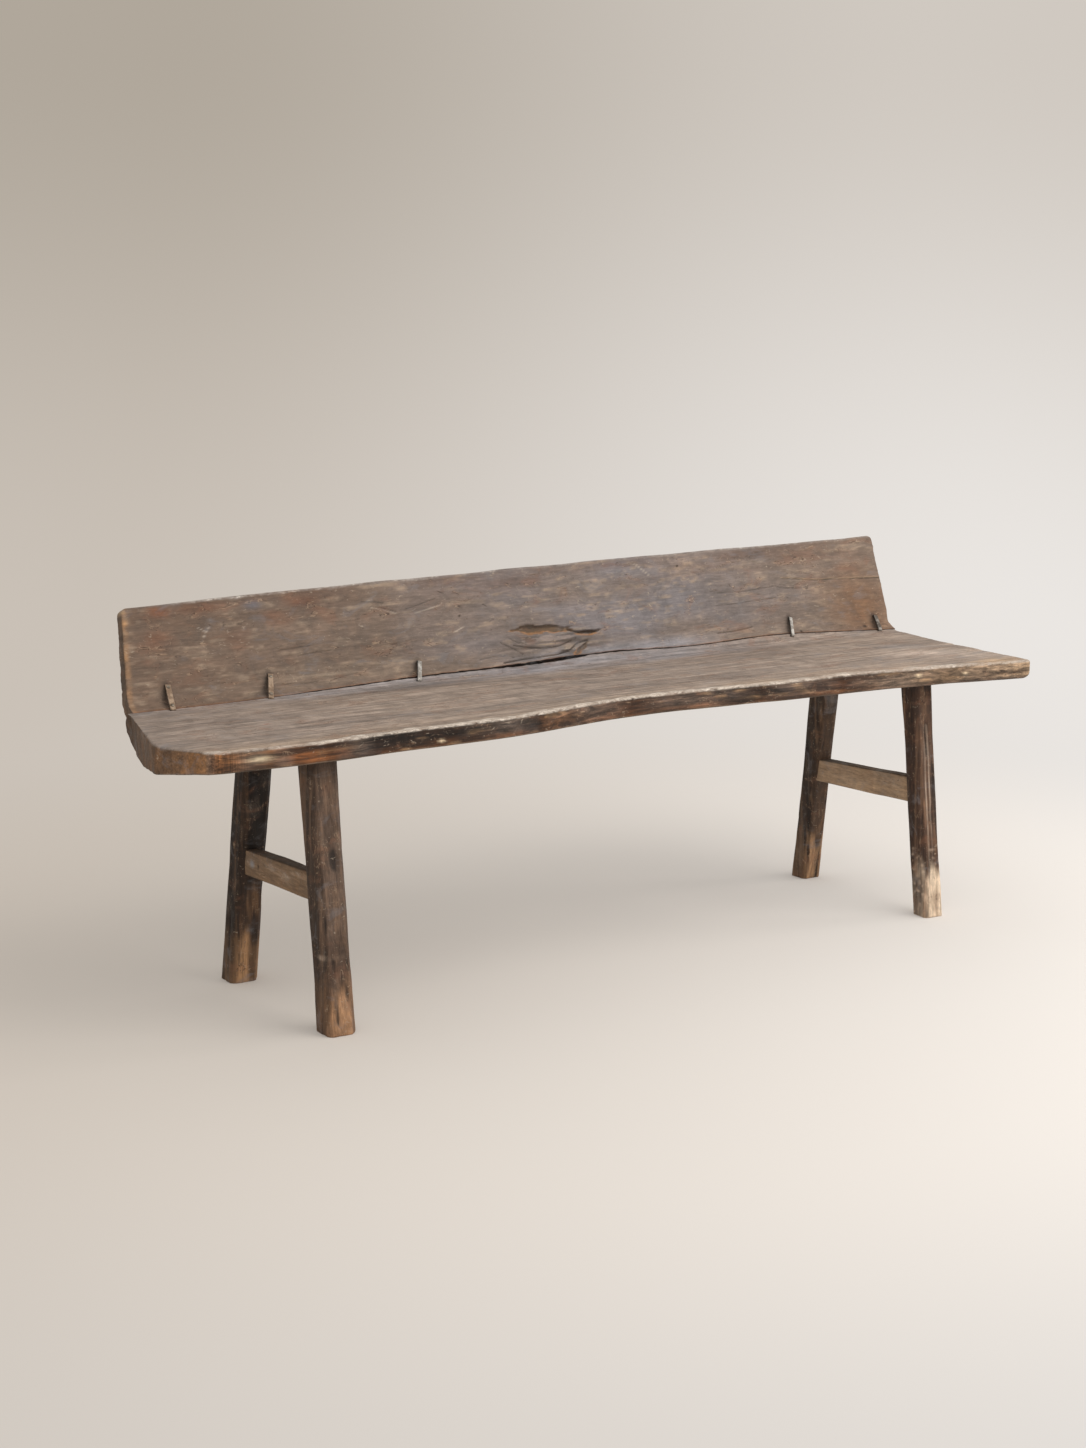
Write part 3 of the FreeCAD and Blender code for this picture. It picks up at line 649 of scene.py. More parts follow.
def make_seat():
    """The seat plank with its worn, chipped edges, hewn waves and end grain."""
    us = lines((0, 1.5), (12, 4.6), (1468, 1.5), (1480, 1))
    vs = lines((0, 1.4), (14, 3.4), (352, 2.4), (390, 1.4), (400, 1))
    ws = lines((0, 1.5), (9, 2.8), (23, 1.5), (32, 1))
    corners, faces = lattice(us, vs, ws)
    u, v, w = corners.T
    chips = waves(corners, (26, 400, 60), 11) + 0.6 * waves(corners, (9, 400, 60), 12)
    top_arris = 5.0 + 1.6 * waves(corners, (140, 400, 400), 13) + 5.0 * np.clip(chips - 0.45, 0, 1)
    bottom_arris = between(u, (0, 1180, 1380, 1480), (3.5, 4.0, 11.0, 12.0)) + np.clip(chips, 0, 1)
    arris = np.where(w > SEAT_EDGE / 2, top_arris, bottom_arris)
    arris = np.where(v > SEAT_COVE - 20, 1.0, arris)
    corner_radius = np.where(v > 200, 1.5, 17.0)
    points = seat_points(worn(corners, SEAT_BOX, corner_radius, arris))
    direction = outward(points, faces)
    x, y, z = points.T
    plan = points[:, :2]
    face = np.column_stack([x, z])
    top = eased((direction[:, 2] - 0.5) / 0.4)
    front = eased((-direction[:, 1] - 0.55) / 0.35) * (y < 0)
    ends = eased((np.abs(direction[:, 0]) - 0.6) / 0.3)
    crack_side = v > SEAT_BOX[1] - 0.5

    # hewn waves, the split and the nick
    lift = 0.8 * waves(points, (230, 80, 90), 21) + 0.4 * waves(points, (75, 24, 40), 22)
    lift += 0.16 * waves(points, (60, 5, 9), 23) - 0.5
    lift += front * (0.5 * waves(points, (14, 60, 40), 24) + 0.35 * waves(points, (5, 60, 22), 25) - 0.7)
    lift += ends * (0.4 * waves(points, (60, 6, 50), 26) - 0.7)
    split = stroke(plan, SEAT_SPLIT, 3.4)
    lift -= top * (1.4 * split + 1.6 * oval(plan, NICK, (7, 4)))
    lift *= np.clip((SEAT_BOX[1] - v) / 12, 0, 1) + 0.15 * (v > SEAT_BOX[1] - 12)
    lift[crack_side] = 0
    points = points + direction * lift[:, None]

    # the top
    colours = wash(points, "#8e7f74")
    paler = between(x, (-780, -560, -300, 0, 420, 780), (0.0, 0.05, 0.6, 0.1, 0.3, 0.9))
    paint(colours, paler, "#9a897b", 0.75)
    paint(colours, spots(points, (210, 46, 60), 30), "#6f625a", 0.6)
    cove_band = top * eased((y - 78) / 40) * between(x, (-500, -420, 300, 480), (0.3, 1.0, 0.8, 0.2))
    paint(colours, cove_band * patchy(points, (130, 20, 60), 31, 0.4), "#8d8d94", 0.75)
    dark_streaks = top * oval(plan, (-300, 95), (330, 42), 3) * patchy(points, (120, 9, 30), 32, 0.45)
    paint(colours, dark_streaks, "#5f554e", 0.7)
    left_streaks = top * oval(plan, (-460, 40), (110, 60), -20) * patchy(points, (90, 8, 30), 39)
    paint(colours, left_streaks, "#6b5d52", 0.7)
    paint_marks(colours, top, plan, BROAD_STAINS)
    edge_distance = y - front_y(x)
    tan_front = top * eased(1 - edge_distance / 80) * patchy(points, (120, 30, 60), 33, 0.45)
    paint(colours, tan_front, "#a48c74", 0.6)
    paint(colours, top * split, "#3c2f26", 0.9)
    paint_marks(colours, top, plan, SMALL_STAINS)

    # the front edge
    edge_tone = between(x, EDGE_TONE_PLACES, EDGE_TONE_LEVELS)
    for level, code in enumerate(EDGE_TONES):
        paint(colours, front * np.clip(1 - np.abs(edge_tone - level), 0, 1), code)
    paint(colours, front * oval(face, (-655, 426), (34, 9)), "#a5977f", 0.9)
    flame = front * oval(face, (-570, 424), (70, 17)) * patchy(points, (26, 60, 5), 34)
    paint(colours, flame, "#a8683c", 0.9)
    tawny = front * oval(face, (-142, 421), (60, 24)) * patchy(points, (40, 60, 6), 48, 0.3)
    paint(colours, tawny, "#8d6240", 0.9)
    low_rim = eased((SEAT_Z - SEAT_EDGE + 13 - z) / 8) * between(x, (-520, -400, 400, 500), (0, 1, 1, 0))
    paint(colours, front * low_rim * patchy(points, (60, 60, 9), 40, 0.4), "#744a2b", 0.6)
    paint(colours, front * spots(points, (60, 60, 9), 35, 1.5), "#2b1b11", 0.7)
    paint(colours, front * spots(points, (28, 60, 7), 36, above=0.5), "#b8936c", 0.9)
    knotty = pit(face, (352, 424), (22, 9), 0, 0.4 * waves(points, (9, 9, 5), 43))
    paint(colours, front * knotty, "#2e2019", 0.8)
    paint_marks(colours, front, face, EDGE_MARKS)

    # the ends, the belly with painted shade, and the crack with painted shade along its lip and on its
    # faces
    left_end = ends * (x < 0)
    paint(colours, left_end, "#4f3d2f")
    slanted = y - 0.2 * (SEAT_Z - z) + 4 * waves(points, (60, 60, 22), 37)
    paint(colours, left_end * between(slanted, GOLD_PLACES, GOLD_LEVELS), "#946a44", 0.95)
    paint(colours, ends * (x > 0), "#86705b")
    # painted shade on the belly, darker where its faces turn down
    belly = eased((-direction[:, 2] - 0.2) / 0.5)
    paint(colours, belly, "#5b4a3d", 0.9)
    paint(colours, belly * patchy(points, (200, 30, 60), 38), "#7a6652", 0.5)
    # painted shade along the seat's lip of the crack
    seam = eased((v - SEAT_BOX[1] + 4) / 4) * (w > 10)
    seam_share = between(x, (-700, -560, -400, 0, 300), (0.3, 0.45, 0.8, 1.0, 0.8))
    paint(colours, seam * seam_share, "#4a3526", 0.75)
    # painted shade on the seat's face inside the crack
    paint(colours, crack_side * between(x, (-600, -420), (0.35, 1.0)), CRACK_SHADE_TONE)

    rubbed_width = 13 + 7 * waves(points, (45, 60, 60), 45) + 3 * waves(points, (12, 60, 60), 46)
    edge_top = eased((corners[:, 2] - SEAT_EDGE + 5) / 4) * eased((rubbed_width - v) / 6)
    wear = edge_top * between(x, RUB_PLACES, RUB_LEVELS) * (0.84 + 0.2 * waves(points, (52, 60, 60), 47))
    wear += 0.5 * edge_top * (rubbed_width > 17)
    sawn = front * between(x, (-740, -700, -660, 600, 800), (0.9, 0.9, 0.0, 0.0, 0.4))
    piece = finished("hewn_seat", points, faces, ["seat_plank"])
    dress(piece, colours, wear=wear, end_grain=ends * 0.8, torn=front * 0.8 + 0.5 * belly, sawn=sawn)
    piece.data.materials.append(old_wood("hewn_softwood_seat", 0, (330, 22, 0.14), (110, 6, 0.25),
                                         (36, 2.4, 0.24)))
    return piece


# Back
BACK_BOX = (1470.0, 190.0, BACK_THICKNESS)
BACK_LOG = 18.0             # the lattice row where the outside becomes straight
BACK_COVE = 30.0            # the lattice row where the cove ends
TOP_ZONE = 30.0
BACK_START_X = -689.0
BACK_RUN = 1460.0
BACK_LEFT_HEIGHT = 161.0
BACK_RISE = 14.5            # how much higher the right end is
BACK_CROWN = 12.0           # four times the crown in the middle of the top edge
BACK_LEFT_X = -707.5
BACK_LEFT_LEAN = 0.1149     # how far the left end leans to the right, over its height
BACK_RIGHT_X = 765.5
FOOT_TUCK = 9.0             # how far the outer foot is drawn in at the left end


def back_height(x):
    """Height of the back's top edge up its slope."""
    share = (x - BACK_START_X) / BACK_RUN
    return BACK_LEFT_HEIGHT + BACK_RISE * share + BACK_CROWN * share * (1 - share)


def back_points(corners):
    """Where the back's lattice lies. Its third measure runs from the outside to the room."""
    u, v, w = corners.T
    x = ends_zone(u, BACK_BOX[0], -700.0, 768.0)
    through = w / BACK_THICKNESS
    tucked = FOOT_TUCK * (1 - np.clip(v / BACK_LOG, 0, 1)) * (1 - through)
    share = np.clip((v - BACK_COVE) / (BACK_BOX[1] - TOP_ZONE - BACK_COVE), 0, 1)
    low_height = between(v, (0, BACK_LOG, BACK_COVE), (-30.0, LOG_BACK_TANGENT, COVE_TANGENT))
    for _ in range(2):
        top = back_height(x) - 1.0 - 0.9 * waves(along_only(x), (85, 9, 9), 41)
        height = COVE_TANGENT + share * (top - TOP_ZONE - COVE_TANGENT)
        height = np.where(v > BACK_BOX[1] - TOP_ZONE, top - (BACK_BOX[1] - v), height)
        height = np.where(v < BACK_COVE, low_height, height)
        left = BACK_LEFT_X + BACK_LEFT_LEAN * np.maximum(height, 0) + tucked
        right = BACK_RIGHT_X + 5.5 * eased((height - 5) / 35)
        x = ends_zone(u, BACK_BOX[0], left, right)
    crack = crack_height(x)
    in_cove = cove_point(crack + np.clip(v / BACK_COVE, 0, 1) * (COVE_LIMIT - crack))
    inner = np.where((v < BACK_COVE)[:, None], in_cove, up_the_back(height))
    exit_angle = angle_at(crack_exit(cove_point(crack)))
    end_angle = angle_at(up_the_back(np.array([LOG_BACK_TANGENT]), BACK_THICKNESS))
    turn = exit_angle + (end_angle - exit_angle) * np.clip(v / BACK_LOG, 0, 1)
    outer = np.where((v < BACK_LOG)[:, None], log_point(turn), up_the_back(height, BACK_THICKNESS))
    section = mixed(outer, inner, through)
    ragged = 0.6 * waves(along_only(x), (11, 9, 9), 42)
    gap = crack_gap(x)
    open_share = np.clip((through - 0.3) / 0.7, 0, 1)
    pulled = (1 - np.clip(v / 12, 0, 1)) * open_share * (0.4 * gap + ragged * np.minimum(gap, 1.5))
    section += pulled[:, None] * UP_COVE
    return np.column_stack([x, section])


# What age and tools have left on the back's face: places are along the bench and up the slope
GOUGES = (
    # centre, radii, tilt in degrees, depth
    ((46, 63), (56, 6.6), -3, 3.0),
    ((124, 50.5), (27, 2.8), -3, 2.6),
    ((112, 25), (17, 4.5), 28, 2.6),
)
CRACKS = (
    # points, width, depth
    (((90, 57), (113, 50), (136, 49.5), (152, 52)), 5.0, 3.0),
    (((-46, 12), (-11, 15), (20, 16), (59, 17), (84, 22), (104, 33), (124, 36)), 4.2, 2.6),
    (((-20, 40), (10, 33), (36, 30), (66, 31), (92, 38)), 3.4, 1.6),
    (((-44, 47), (-25, 36), (-6, 24)), 3.0, 1.2),
    (((-30, 55), (-12, 44), (4, 40)), 2.8, 0.9),
    (((-88, 22), (-60, 25), (-42, 24)), 3.0, 0.9),
    (((-457, 17), (-420, 15), (-385, 15)), 3.4, 0.9),
    (((-373, 21), (-340, 20), (-312, 22)), 3.0, 0.8),
    (((551, 110.6), (590, 105.8), (622, 101.8), (678, 100.8), (728, 97), (771, 95.5)), 3.6, 1.6),
    (((408, 94.7), (465, 93.7), (532, 97.5), (553, 92.2), (585, 89.6)), 3.0, 0.7),
    (((390, 24.7), (427, 25), (464, 28.9)), 3.4, 1.2),
    (((396, 72.4), (449, 73.4), (476, 74.8), (526, 76.1)), 2.8, 0.5),
    (((-440, 70.8), (-387, 73)), 3.0, 0.6),
    (((-407, 60), (-352, 63)), 3.0, 0.6),
)
OUTSIDE_CRACKS = (
    # points, width, depth
    (((-690, 62), (-560, 66), (-420, 60), (-330, 63)), 4.0, 1.8),
    (((120, 98), (260, 95), (420, 101), (560, 97)), 3.6, 1.6),
    (((-180, 30), (-60, 33), (80, 28)), 3.4, 1.4),
)
RUSTY_PATCHES = (
    # centre, radii, strength
    ((-630, 148), (34, 16), 0.8),
    ((-430, 124), (44, 20), 0.75),
    ((-388, 148), (50, 18), 0.7),
    ((-506, 95), (34, 26), 0.55),
    ((-635, 105), (42, 28), 0.6),
    ((-560, 150), (60, 14), 0.55),
    ((690, 112), (60, 22), 0.4),
)
SCRATCHES = (
    # points, width, colour, strength
    (((248, 159), (266, 143.2), (274, 135)), 3.4, "#b9ab9c", 0.75),
    (((-285, 135.5), (-259, 133.3), (-245, 130.5)), 3.2, "#3d342e", 0.8),
    (((-270, 128), (-243, 121), (-226, 114.7)), 3.0, "#3d342e", 0.8),
    (((-270, 125), (-243, 118), (-226, 111.7)), 3.0, "#b5a797", 0.6),
    (((-207, 117.4), (-188, 120.8), (-159, 128.4), (-147, 131)), 3.0, "#3d342e", 0.8),
    (((-191, 109.4), (-171, 112.8), (-142, 118.7)), 3.0, "#b5a797", 0.6),
    (((-124, 71.9), (-108, 78.8)), 3.2, "#b9ab9c", 0.7),
    (((-567, 96), (-558, 110.2), (-551, 117.5)), 2.8, "#cdbdac", 0.6),
    (((-558, 110.2), (-569, 118)), 2.8, "#cdbdac", 0.6),
    (((549, 112), (620, 103.6), (770, 97.6)), 3.0, "#b79c80", 0.6),
)


BACK_STAINS = (
    # centre, radii, tilt in degrees, colour, strength
    ((-472, 147), (26, 14), 0, "#5e5c62", 0.8),
    ((715, 45), (130, 120), 0, "#735339", 0.8),
)
HOLES = (
    # centre, radii
    ((-706, 36), (8, 7)),
    ((706, 8), (6, 5)),
    ((655, 14), (4, 3)),
    ((574, 3), (6, 4)),
    ((565, 11), (5, 4)),
    ((-500, 118), (4, 3)),
    ((334, 149), (5, 3)),
    ((-110, 98), (4, 3)),
)
TOP_RUB_PLACES = (-700, -620, -560, -180, -120, 300, 700, 770)
TOP_RUB_LEVELS = (0.3, 0.25, 0.9, 0.85, 0.5, 0.55, 0.75, 0.6)
CRACK_TONE = "#2a1f17"
# painted shadow to the left of each iron, together with the iron's stain on the wood
IRON_STAIN_AND_SHADOW_TONE = "#221a15"      # round the irons


def make_back():
    """The back plank with its knotty hollow, cracks, scratches and worn top."""
    us = lines((0, 1.4), (12, 4.2), (650, 2.4), (880, 4.2), (1458, 1.4), (1470, 1))
    vs = lines((0, 1.3), (12, 1.8), (178, 1.3), (190, 1))
    ws = lines((0, 1.4), (22, 1))
    corners, faces = lattice(us, vs, ws)
    _, v, w = corners.T
    notches = waves(corners, (60, 13, 60), 51) + 0.5 * waves(corners, (30, 5, 60), 52)
    chips = waves(corners, (34, 60, 60), 53) + 0.6 * waves(corners, (11, 60, 60), 54)
    near_top = v > BACK_BOX[1] - 20
    arris = np.where(near_top, 5.5 + 1.2 * chips, 4.5 + 2.2 * notches)
    arris = np.where(v < 14, 1.2, np.clip(arris, 2.0, 9.0))
    corner_radius = np.where(v > 100, 10.0, 9.4 - 7.6 * (v < 14))
    points = back_points(worn(corners, BACK_BOX, corner_radius, arris))
    direction = outward(points, faces)
    x, y, z = points.T
    slope = (y - CREASE_Y) * UP_BACK[0] + (z - SEAT_Z) * UP_BACK[1]
    face = np.column_stack([x, slope])
    solid = np.column_stack([x, slope, y])
    front = eased((direction @ np.array([0, *-OUT_BACK]) - 0.4) / 0.4)
    outside = eased((direction @ np.array([0, *OUT_BACK]) - 0.3) / 0.4)
    ends = eased((np.abs(direction[:, 0]) - 0.6) / 0.3)
    crack_side = v < 0.5

    # hewn waves, the hollow with its curled grain, and the cracks
    lift = 0.8 * waves(solid, (260, 70, 200), 61) + 0.35 * waves(solid, (80, 18, 200), 62)
    lift += 0.16 * waves(solid, (70, 3.4, 200), 63) - 0.6
    lift += 0.3 * ends * waves(solid, (60, 5, 9), 64)
    lift += outside * (0.9 * waves(solid, (150, 42, 200), 81) - 0.7)
    dug = np.zeros(len(points))
    ragged = 0.35 * waves(solid, (16, 5, 200), 68) + 0.2 * waves(solid, (6, 3, 200), 69)
    for centre, radii, tilt, depth in GOUGES:
        dug += depth * pit(face, centre, radii, tilt, ragged)
    curl_zone = oval(face, (62, 32), (150, 46))
    curl_place = solid + np.column_stack([0 * x, 7 * waves(solid, (60, 60, 200), 66), 0 * x])
    curl = waves(curl_place, (46, 4.2, 200), 65)
    for line, width, depth in CRACKS:
        dug += depth * stroke(face, line, width)
    for line, width, depth in OUTSIDE_CRACKS:
        lift -= outside * depth * stroke(face, line, width)
    lift += front * (0.5 * curl * curl_zone - dug)
    lift *= np.clip(v / 14, 0.1, 1)
    lift[crack_side] = 0
    points = points + direction * lift[:, None]

    # patina and stains
    colours = wash(points, "#6c5747")
    paint(colours, between(x, (-720, -400, -60, 420, 780), (0.1, 0.35, 0.7, 0.9, 0.7)), "#86776c", 0.85)
    paint(colours, patchy(solid, (210, 45, 200), 71), "#66574c", 0.45)
    blue = between(x, (-260, -80, 120, 330, 520, 640), (0.0, 0.75, 0.9, 0.85, 0.4, 0.0))
    blue = blue * patchy(solid, (110, 40, 200), 72, 0.38) * eased((slope - 12) / 40)
    paint(colours, blue, "#75747a", 0.8)
    flecks = np.clip(waves(solid, (30, 8, 200), 79) + 0.5 * waves(solid, (9, 4, 200), 80) - 0.35, 0, 1)
    paint(colours, flecks, "#a08c78", 0.7)
    for place, size, strength in RUSTY_PATCHES:
        rusty = oval(face, place, size) * patchy(solid, (30, 11, 200), 73, 0.4)
        paint(colours, rusty, "#865235", strength)
    paint_marks(colours, 1.0, face, BACK_STAINS)
    ruddy = eased((slope - 110) / 50) * (0.4 + 0.6 * waves(solid, (120, 16, 200), 74))
    paint(colours, ruddy * front, "#5a4234", 0.65)
    streaky = oval(face, (-330, 62), (230, 40), 4) * patchy(solid, (90, 6, 200), 75)
    paint(colours, streaky, "#574b42", 0.6)
    pale_foot = oval(face, (-360, 24), (230, 26)) * patchy(solid, (90, 5, 200), 76)
    paint(colours, pale_foot, "#a18e7a", 0.6)
    ashen_foot = eased(1 - np.abs(slope - 14) / 22) * between(x, (-100, 60, 300, 420), (0, 1, 1, 0))
    paint(colours, ashen_foot, "#85878f", 0.6)

    # the hollow, the cracks and the scratches
    paint(colours, front * curl_zone * np.clip(0.4 - curl * 1.6, 0, 1), "#4b3e33", 0.9)
    paint(colours, front * curl_zone * np.clip(curl * 1.5 - 0.2, 0, 1), "#a08c76", 0.7)
    for (place, height), (long, high), tilt, _ in GOUGES:
        rim = pit(face, (place - 4, height - 2.4), (long + 2, high + 0.8), tilt, ragged)
        paint(colours, front * rim, "#93683f", 0.85)
        hollow = pit(face, (place, height), (long, high), tilt, ragged)
        paint(colours, front * hollow, "#5b4a3a", 0.95)
        shadowed = pit(face, (place, height + high * 0.6), (long * 0.8, high * 0.4), tilt, ragged)
        paint(colours, front * shadowed, "#33271e", 0.6)
    paint(colours, front * pit(face, (56, 46), (44, 5), 0, ragged), "#9b8b83", 0.7)
    for line, width, depth in CRACKS:
        paint(colours, front * stroke(face, line, width), CRACK_TONE, min(1.0, 0.45 + depth / 4))
    for line, width, code, strength in SCRATCHES:
        paint(colours, front * stroke(face, line, width), code, strength)
    for centre, radii in HOLES:
        paint(colours, front * oval(face, centre, radii), "#2b201a", 1.3)

    # the ends, the outside, the stains and painted shadows to the left of the irons, and the open crack
    # with painted shade on its faces
    paint(colours, ends, "#54453a", 0.9)
    off_arris = np.abs(x + 703 - BACK_LEFT_LEAN * slope)
    left_arris = eased(1 - off_arris / 9) * eased(front + 0.4) * (1 - 0.5 * ends)
    paint(colours, left_arris * patchy(solid, (20, 9, 200), 78), "#b98d63", 0.9)
    paint(colours, oval(face, (-692, 154), (12, 10)), "#b79c7c", 0.6)
    paint(colours, outside, "#6d5a4b", 0.85)
    paint(colours, outside * spots(solid, (380, 26, 200), 82, 1.4), "#8b7a6a", 0.7)
    paint(colours, outside * spots(solid, (260, 60, 200), 83, 1.4), "#4d3e33", 0.6)
    for line, width, depth in OUTSIDE_CRACKS:
        paint(colours, outside * stroke(face, line, width), CRACK_TONE, min(1.0, 0.5 + depth / 4))
    # painted shadow, with some iron stain, on the wood just to the left of each iron
    for (top_x, top_height), (bottom_x, _), width in IRONS.values():
        top_slope = (wood_surface(top_height) - CREASE) @ UP_BACK
        stain_and_shadow = [(bottom_x - 2.5, 4.0), (top_x - 2.5, top_slope + 1.0)]
        paint(colours, front * stroke(face, stain_and_shadow, width + 9), IRON_STAIN_AND_SHADOW_TONE, 0.75)
    paint(colours, eased(1 - v / 5) * (w > 8), "#7a4f33", 0.55)
    # painted shade on the back's face inside the crack
    paint(colours, crack_side * between(x, (-600, -420), (0.35, 1.0)), CRACK_SHADE_TONE)

    along_top = eased(1 - (BACK_BOX[1] - v) / 7) * eased((w - 3) / 8)
    along_top *= between(x, TOP_RUB_PLACES, TOP_RUB_LEVELS)
    wear = along_top * (0.55 + 0.45 * np.clip(chips + 0.4, 0, 1))
    wear += oval(face, (-500, 162), (16, 7))
    piece = finished("hewn_back", points, faces, ["back_plank"])
    dress(piece, colours, wear=wear, end_grain=ends * 0.8, torn=0.15 * outside)
    piece.data.materials.append(old_wood("hewn_softwood_back", 0, (240, 30, 0.1), (42, 6, 0.14),
                                         (16, 2.6, 0.13), mottle=0.18, worn_colour="#a9a099"))
    return piece


# Legs: foot and head centres, with the width and what age has done to each
LEG_TOP = 414.0             # the shoulder, hidden in the seat
TENON_TOP = 429.0
TENON_RADIUS = 15.0
HEAD_Z = 398.0
LEGS = {
    "leg_front_left": ((-533.5, -178.3), (-525.0, -115.3), 48.0, 208.0),
    "leg_rear_left": ((-540.5, 136.7), (-521.5, 97.7), 48.0, 196.0),
    "leg_front_right": ((615.5, -151.3), (605.0, -115.3), 41.5, 215.0),
    "leg_rear_right": ((598.5, 165.7), (584.0, 97.7), 41.5, 207.0),
}
LEG_TONES = {
    # upper part, lower part, foot, dark (painted shade on the left face, and dark patches), streak
    "leg_front_left": ("#5f4c3f", "#483529", "#a17a59", "#35281f", "#765d4a"),
    "leg_rear_left": ("#2c1f16", "#402e21", "#a67f5a", "#241a14", "#6e523a"),
    "leg_front_right": ("#573f30", "#463023", "#f4dcc0", "#302018", "#7e6049"),
    "leg_rear_right": ("#483526", "#463325", "#9f7c5b", "#2a1f17", "#6f5641"),
}


def make_leg(name, number):
    """One hewn leg with its broken corners, splits and worn foot, and the tenon on top."""
    foot, head, across, waist_z = LEGS[name]
    upper, lower, pale_foot, dark, streak = LEG_TONES[name]
    box = (across, across, TENON_TOP)
    side = lines((0, 1.6), (12, 2.6), (across - 12, 1.6), (across, 1))
    ws = lines((0, 1.0), (5, 3.6), (408, 1.5), (LEG_TOP, 0.5), (LEG_TOP + 0.5, 4), (TENON_TOP, 1))
    corners, faces = lattice(side, side, ws)
    seed = 100 + 20 * number
    foot_wear = 3.0 + 1.5 * waves(corners, (9, 9, 50), seed)
    arris = np.where(corners[:, 2] < 50, foot_wear, 0.5)
    rounded = worn(corners, box, across * 0.18, arris, facet=0.85)
    a, b, z = rounded.T
    in_tenon = corners[:, 2] > LEG_TOP + 0.2
    half = across / 2
    i = (corners[:, 0] - half) / half
    j = (corners[:, 1] - half) / half
    circle = np.maximum(np.abs(i), np.abs(j)) / np.maximum(np.hypot(i, j), 1e-9)
    swell = between(z, (0, waist_z, HEAD_Z + 31), (1.0, 1 - 1.0 / across, 1 + 2.0 / across))
    share = z / HEAD_Z
    centre = np.array(foot)[None, :] + share[:, None] * (np.array(head) - np.array(foot))[None, :]
    plan = np.column_stack([a - half, b - half]) * swell[:, None]
    plan = np.where(in_tenon[:, None], np.column_stack([i, j]) * circle[:, None] * TENON_RADIUS, plan)
    points = np.column_stack([centre + plan, z])
    direction = outward(points, faces)
    x, y, z = points.T
    shifted = points + np.array([0, 0, 37.0 * number])

    lift = 0.9 * waves(shifted, (40, 40, 95), seed + 1) + 0.45 * waves(shifted, (15, 15, 60), seed + 2)
    lift += 0.3 * waves(shifted, (4, 4, 70), seed + 3) - 0.5
    splits = spots(shifted, (6, 6, 130), seed + 4, above=0.52) * 5
    lift -= splits * 0.9
    lift *= eased(z / 3) * (z < 405)
    points = points + direction * lift[:, None]

    colours = wash(points, upper)
    paint(colours, eased((210 - z) / 150), lower)
    foot_edge = 92 + 28 * waves(shifted, (12, 12, 200), seed + 5)
    paint(colours, eased((foot_edge - z) / 34), pale_foot, 0.88)
    # painted shade on the faces turned to the left, away from the light
    painted_shade_left_face = eased((-direction[:, 0] - 0.5) / 0.3)
    paint(colours, painted_shade_left_face, dark, 0.75)
    paint(colours, spots(shifted, (5, 5, 150), seed + 6, 1.5), streak, 0.55)
    paint(colours, spots(shifted, (22, 22, 60), seed + 7), dark, 0.65)
    paint(colours, np.clip(splits, 0, 1), "#1f1713", 0.8)
    # painted shade at the top of each leg, under the seat
    paint(colours, eased((z - 372) / 26), "#2e241e", 0.45)
    if name == "leg_front_left":
        dark_band = eased(1 - np.abs(z - 96) / 34) * patchy(shifted, (20, 20, 30), 137, 0.4)
        paint(colours, dark_band, "#3d2d23", 0.75)
        knot = oval(np.column_stack([y, z]), (-172, 113), (15, 12)) * (direction[:, 0] < 0.4)
        paint(colours, knot * (0.5 + 0.5 * np.sin(z * 1.3)), "#a08c7a", 0.8)
    if name == "leg_rear_left":
        shade = eased((x + 546) / 9) * eased((z - 150) / 60)
        paint(colours, shade, "#1c1511", 0.85)
    if name == "leg_front_right":
        upright = np.column_stack([x - 0.026 * (HEAD_Z - z), z])
        for offset in (-4.0, 3.0):
            pale = stroke(upright, [(602 + offset, 90), (604 + offset, 330)], 2.8)
            paint(colours, pale * (direction[:, 1] < -0.5), "#b9a491", 0.75)
        paint(colours, spots(shifted, (5, 5, 5), seed + 8, above=0.25) * (z < 120), "#c4ab94")
    piece = finished("hewn_" + name, points, faces, [name])
    dress(piece, colours, wear=0.25 * spots(shifted, (12, 12, 40), seed + 9, above=0.35))
    return piece


def leg_axis(name, z):
    """The centre of a leg at a height."""
    foot, head = LEGS[name][:2]
    share = z / HEAD_Z
    return [foot[i] + (head[i] - foot[i]) * share for i in (0, 1)] + [z]


STRETCHERS = {
    # rear leg, front leg, height of centre and height of bar at the rear, then at the front
    "stretcher_left": ("leg_rear_left", "leg_front_left", (196.0, 40.0), (208.0, 43.0)),
    "stretcher_right": ("leg_rear_right", "leg_front_right", (207.0, 39.0), (215.0, 44.0)),
}
STRETCHER_TONES = {
    # face, top
    "stretcher_left": ("#856a4f", "#4a4038"),
    "stretcher_right": ("#a3886c", "#5d544c"),
}
BAR_STAINS = (
    # centre as place across the bench and height, radii, tilt in degrees, colour, strength
    ((70, 200), (11, 9), 0, "#8b8f96", 0.8),
    ((50, 200), (5, 7), 0, "#2b221c", 1.0),
)
REAR_THICKNESS = 24.0
FRONT_THICKNESS = 20.0
STRETCHER_SHIFT = 2.0       # how far the bar sits to the left of the legs' centres
END_DEPTH = 5.0             # how far from the legs' centres the bar ends


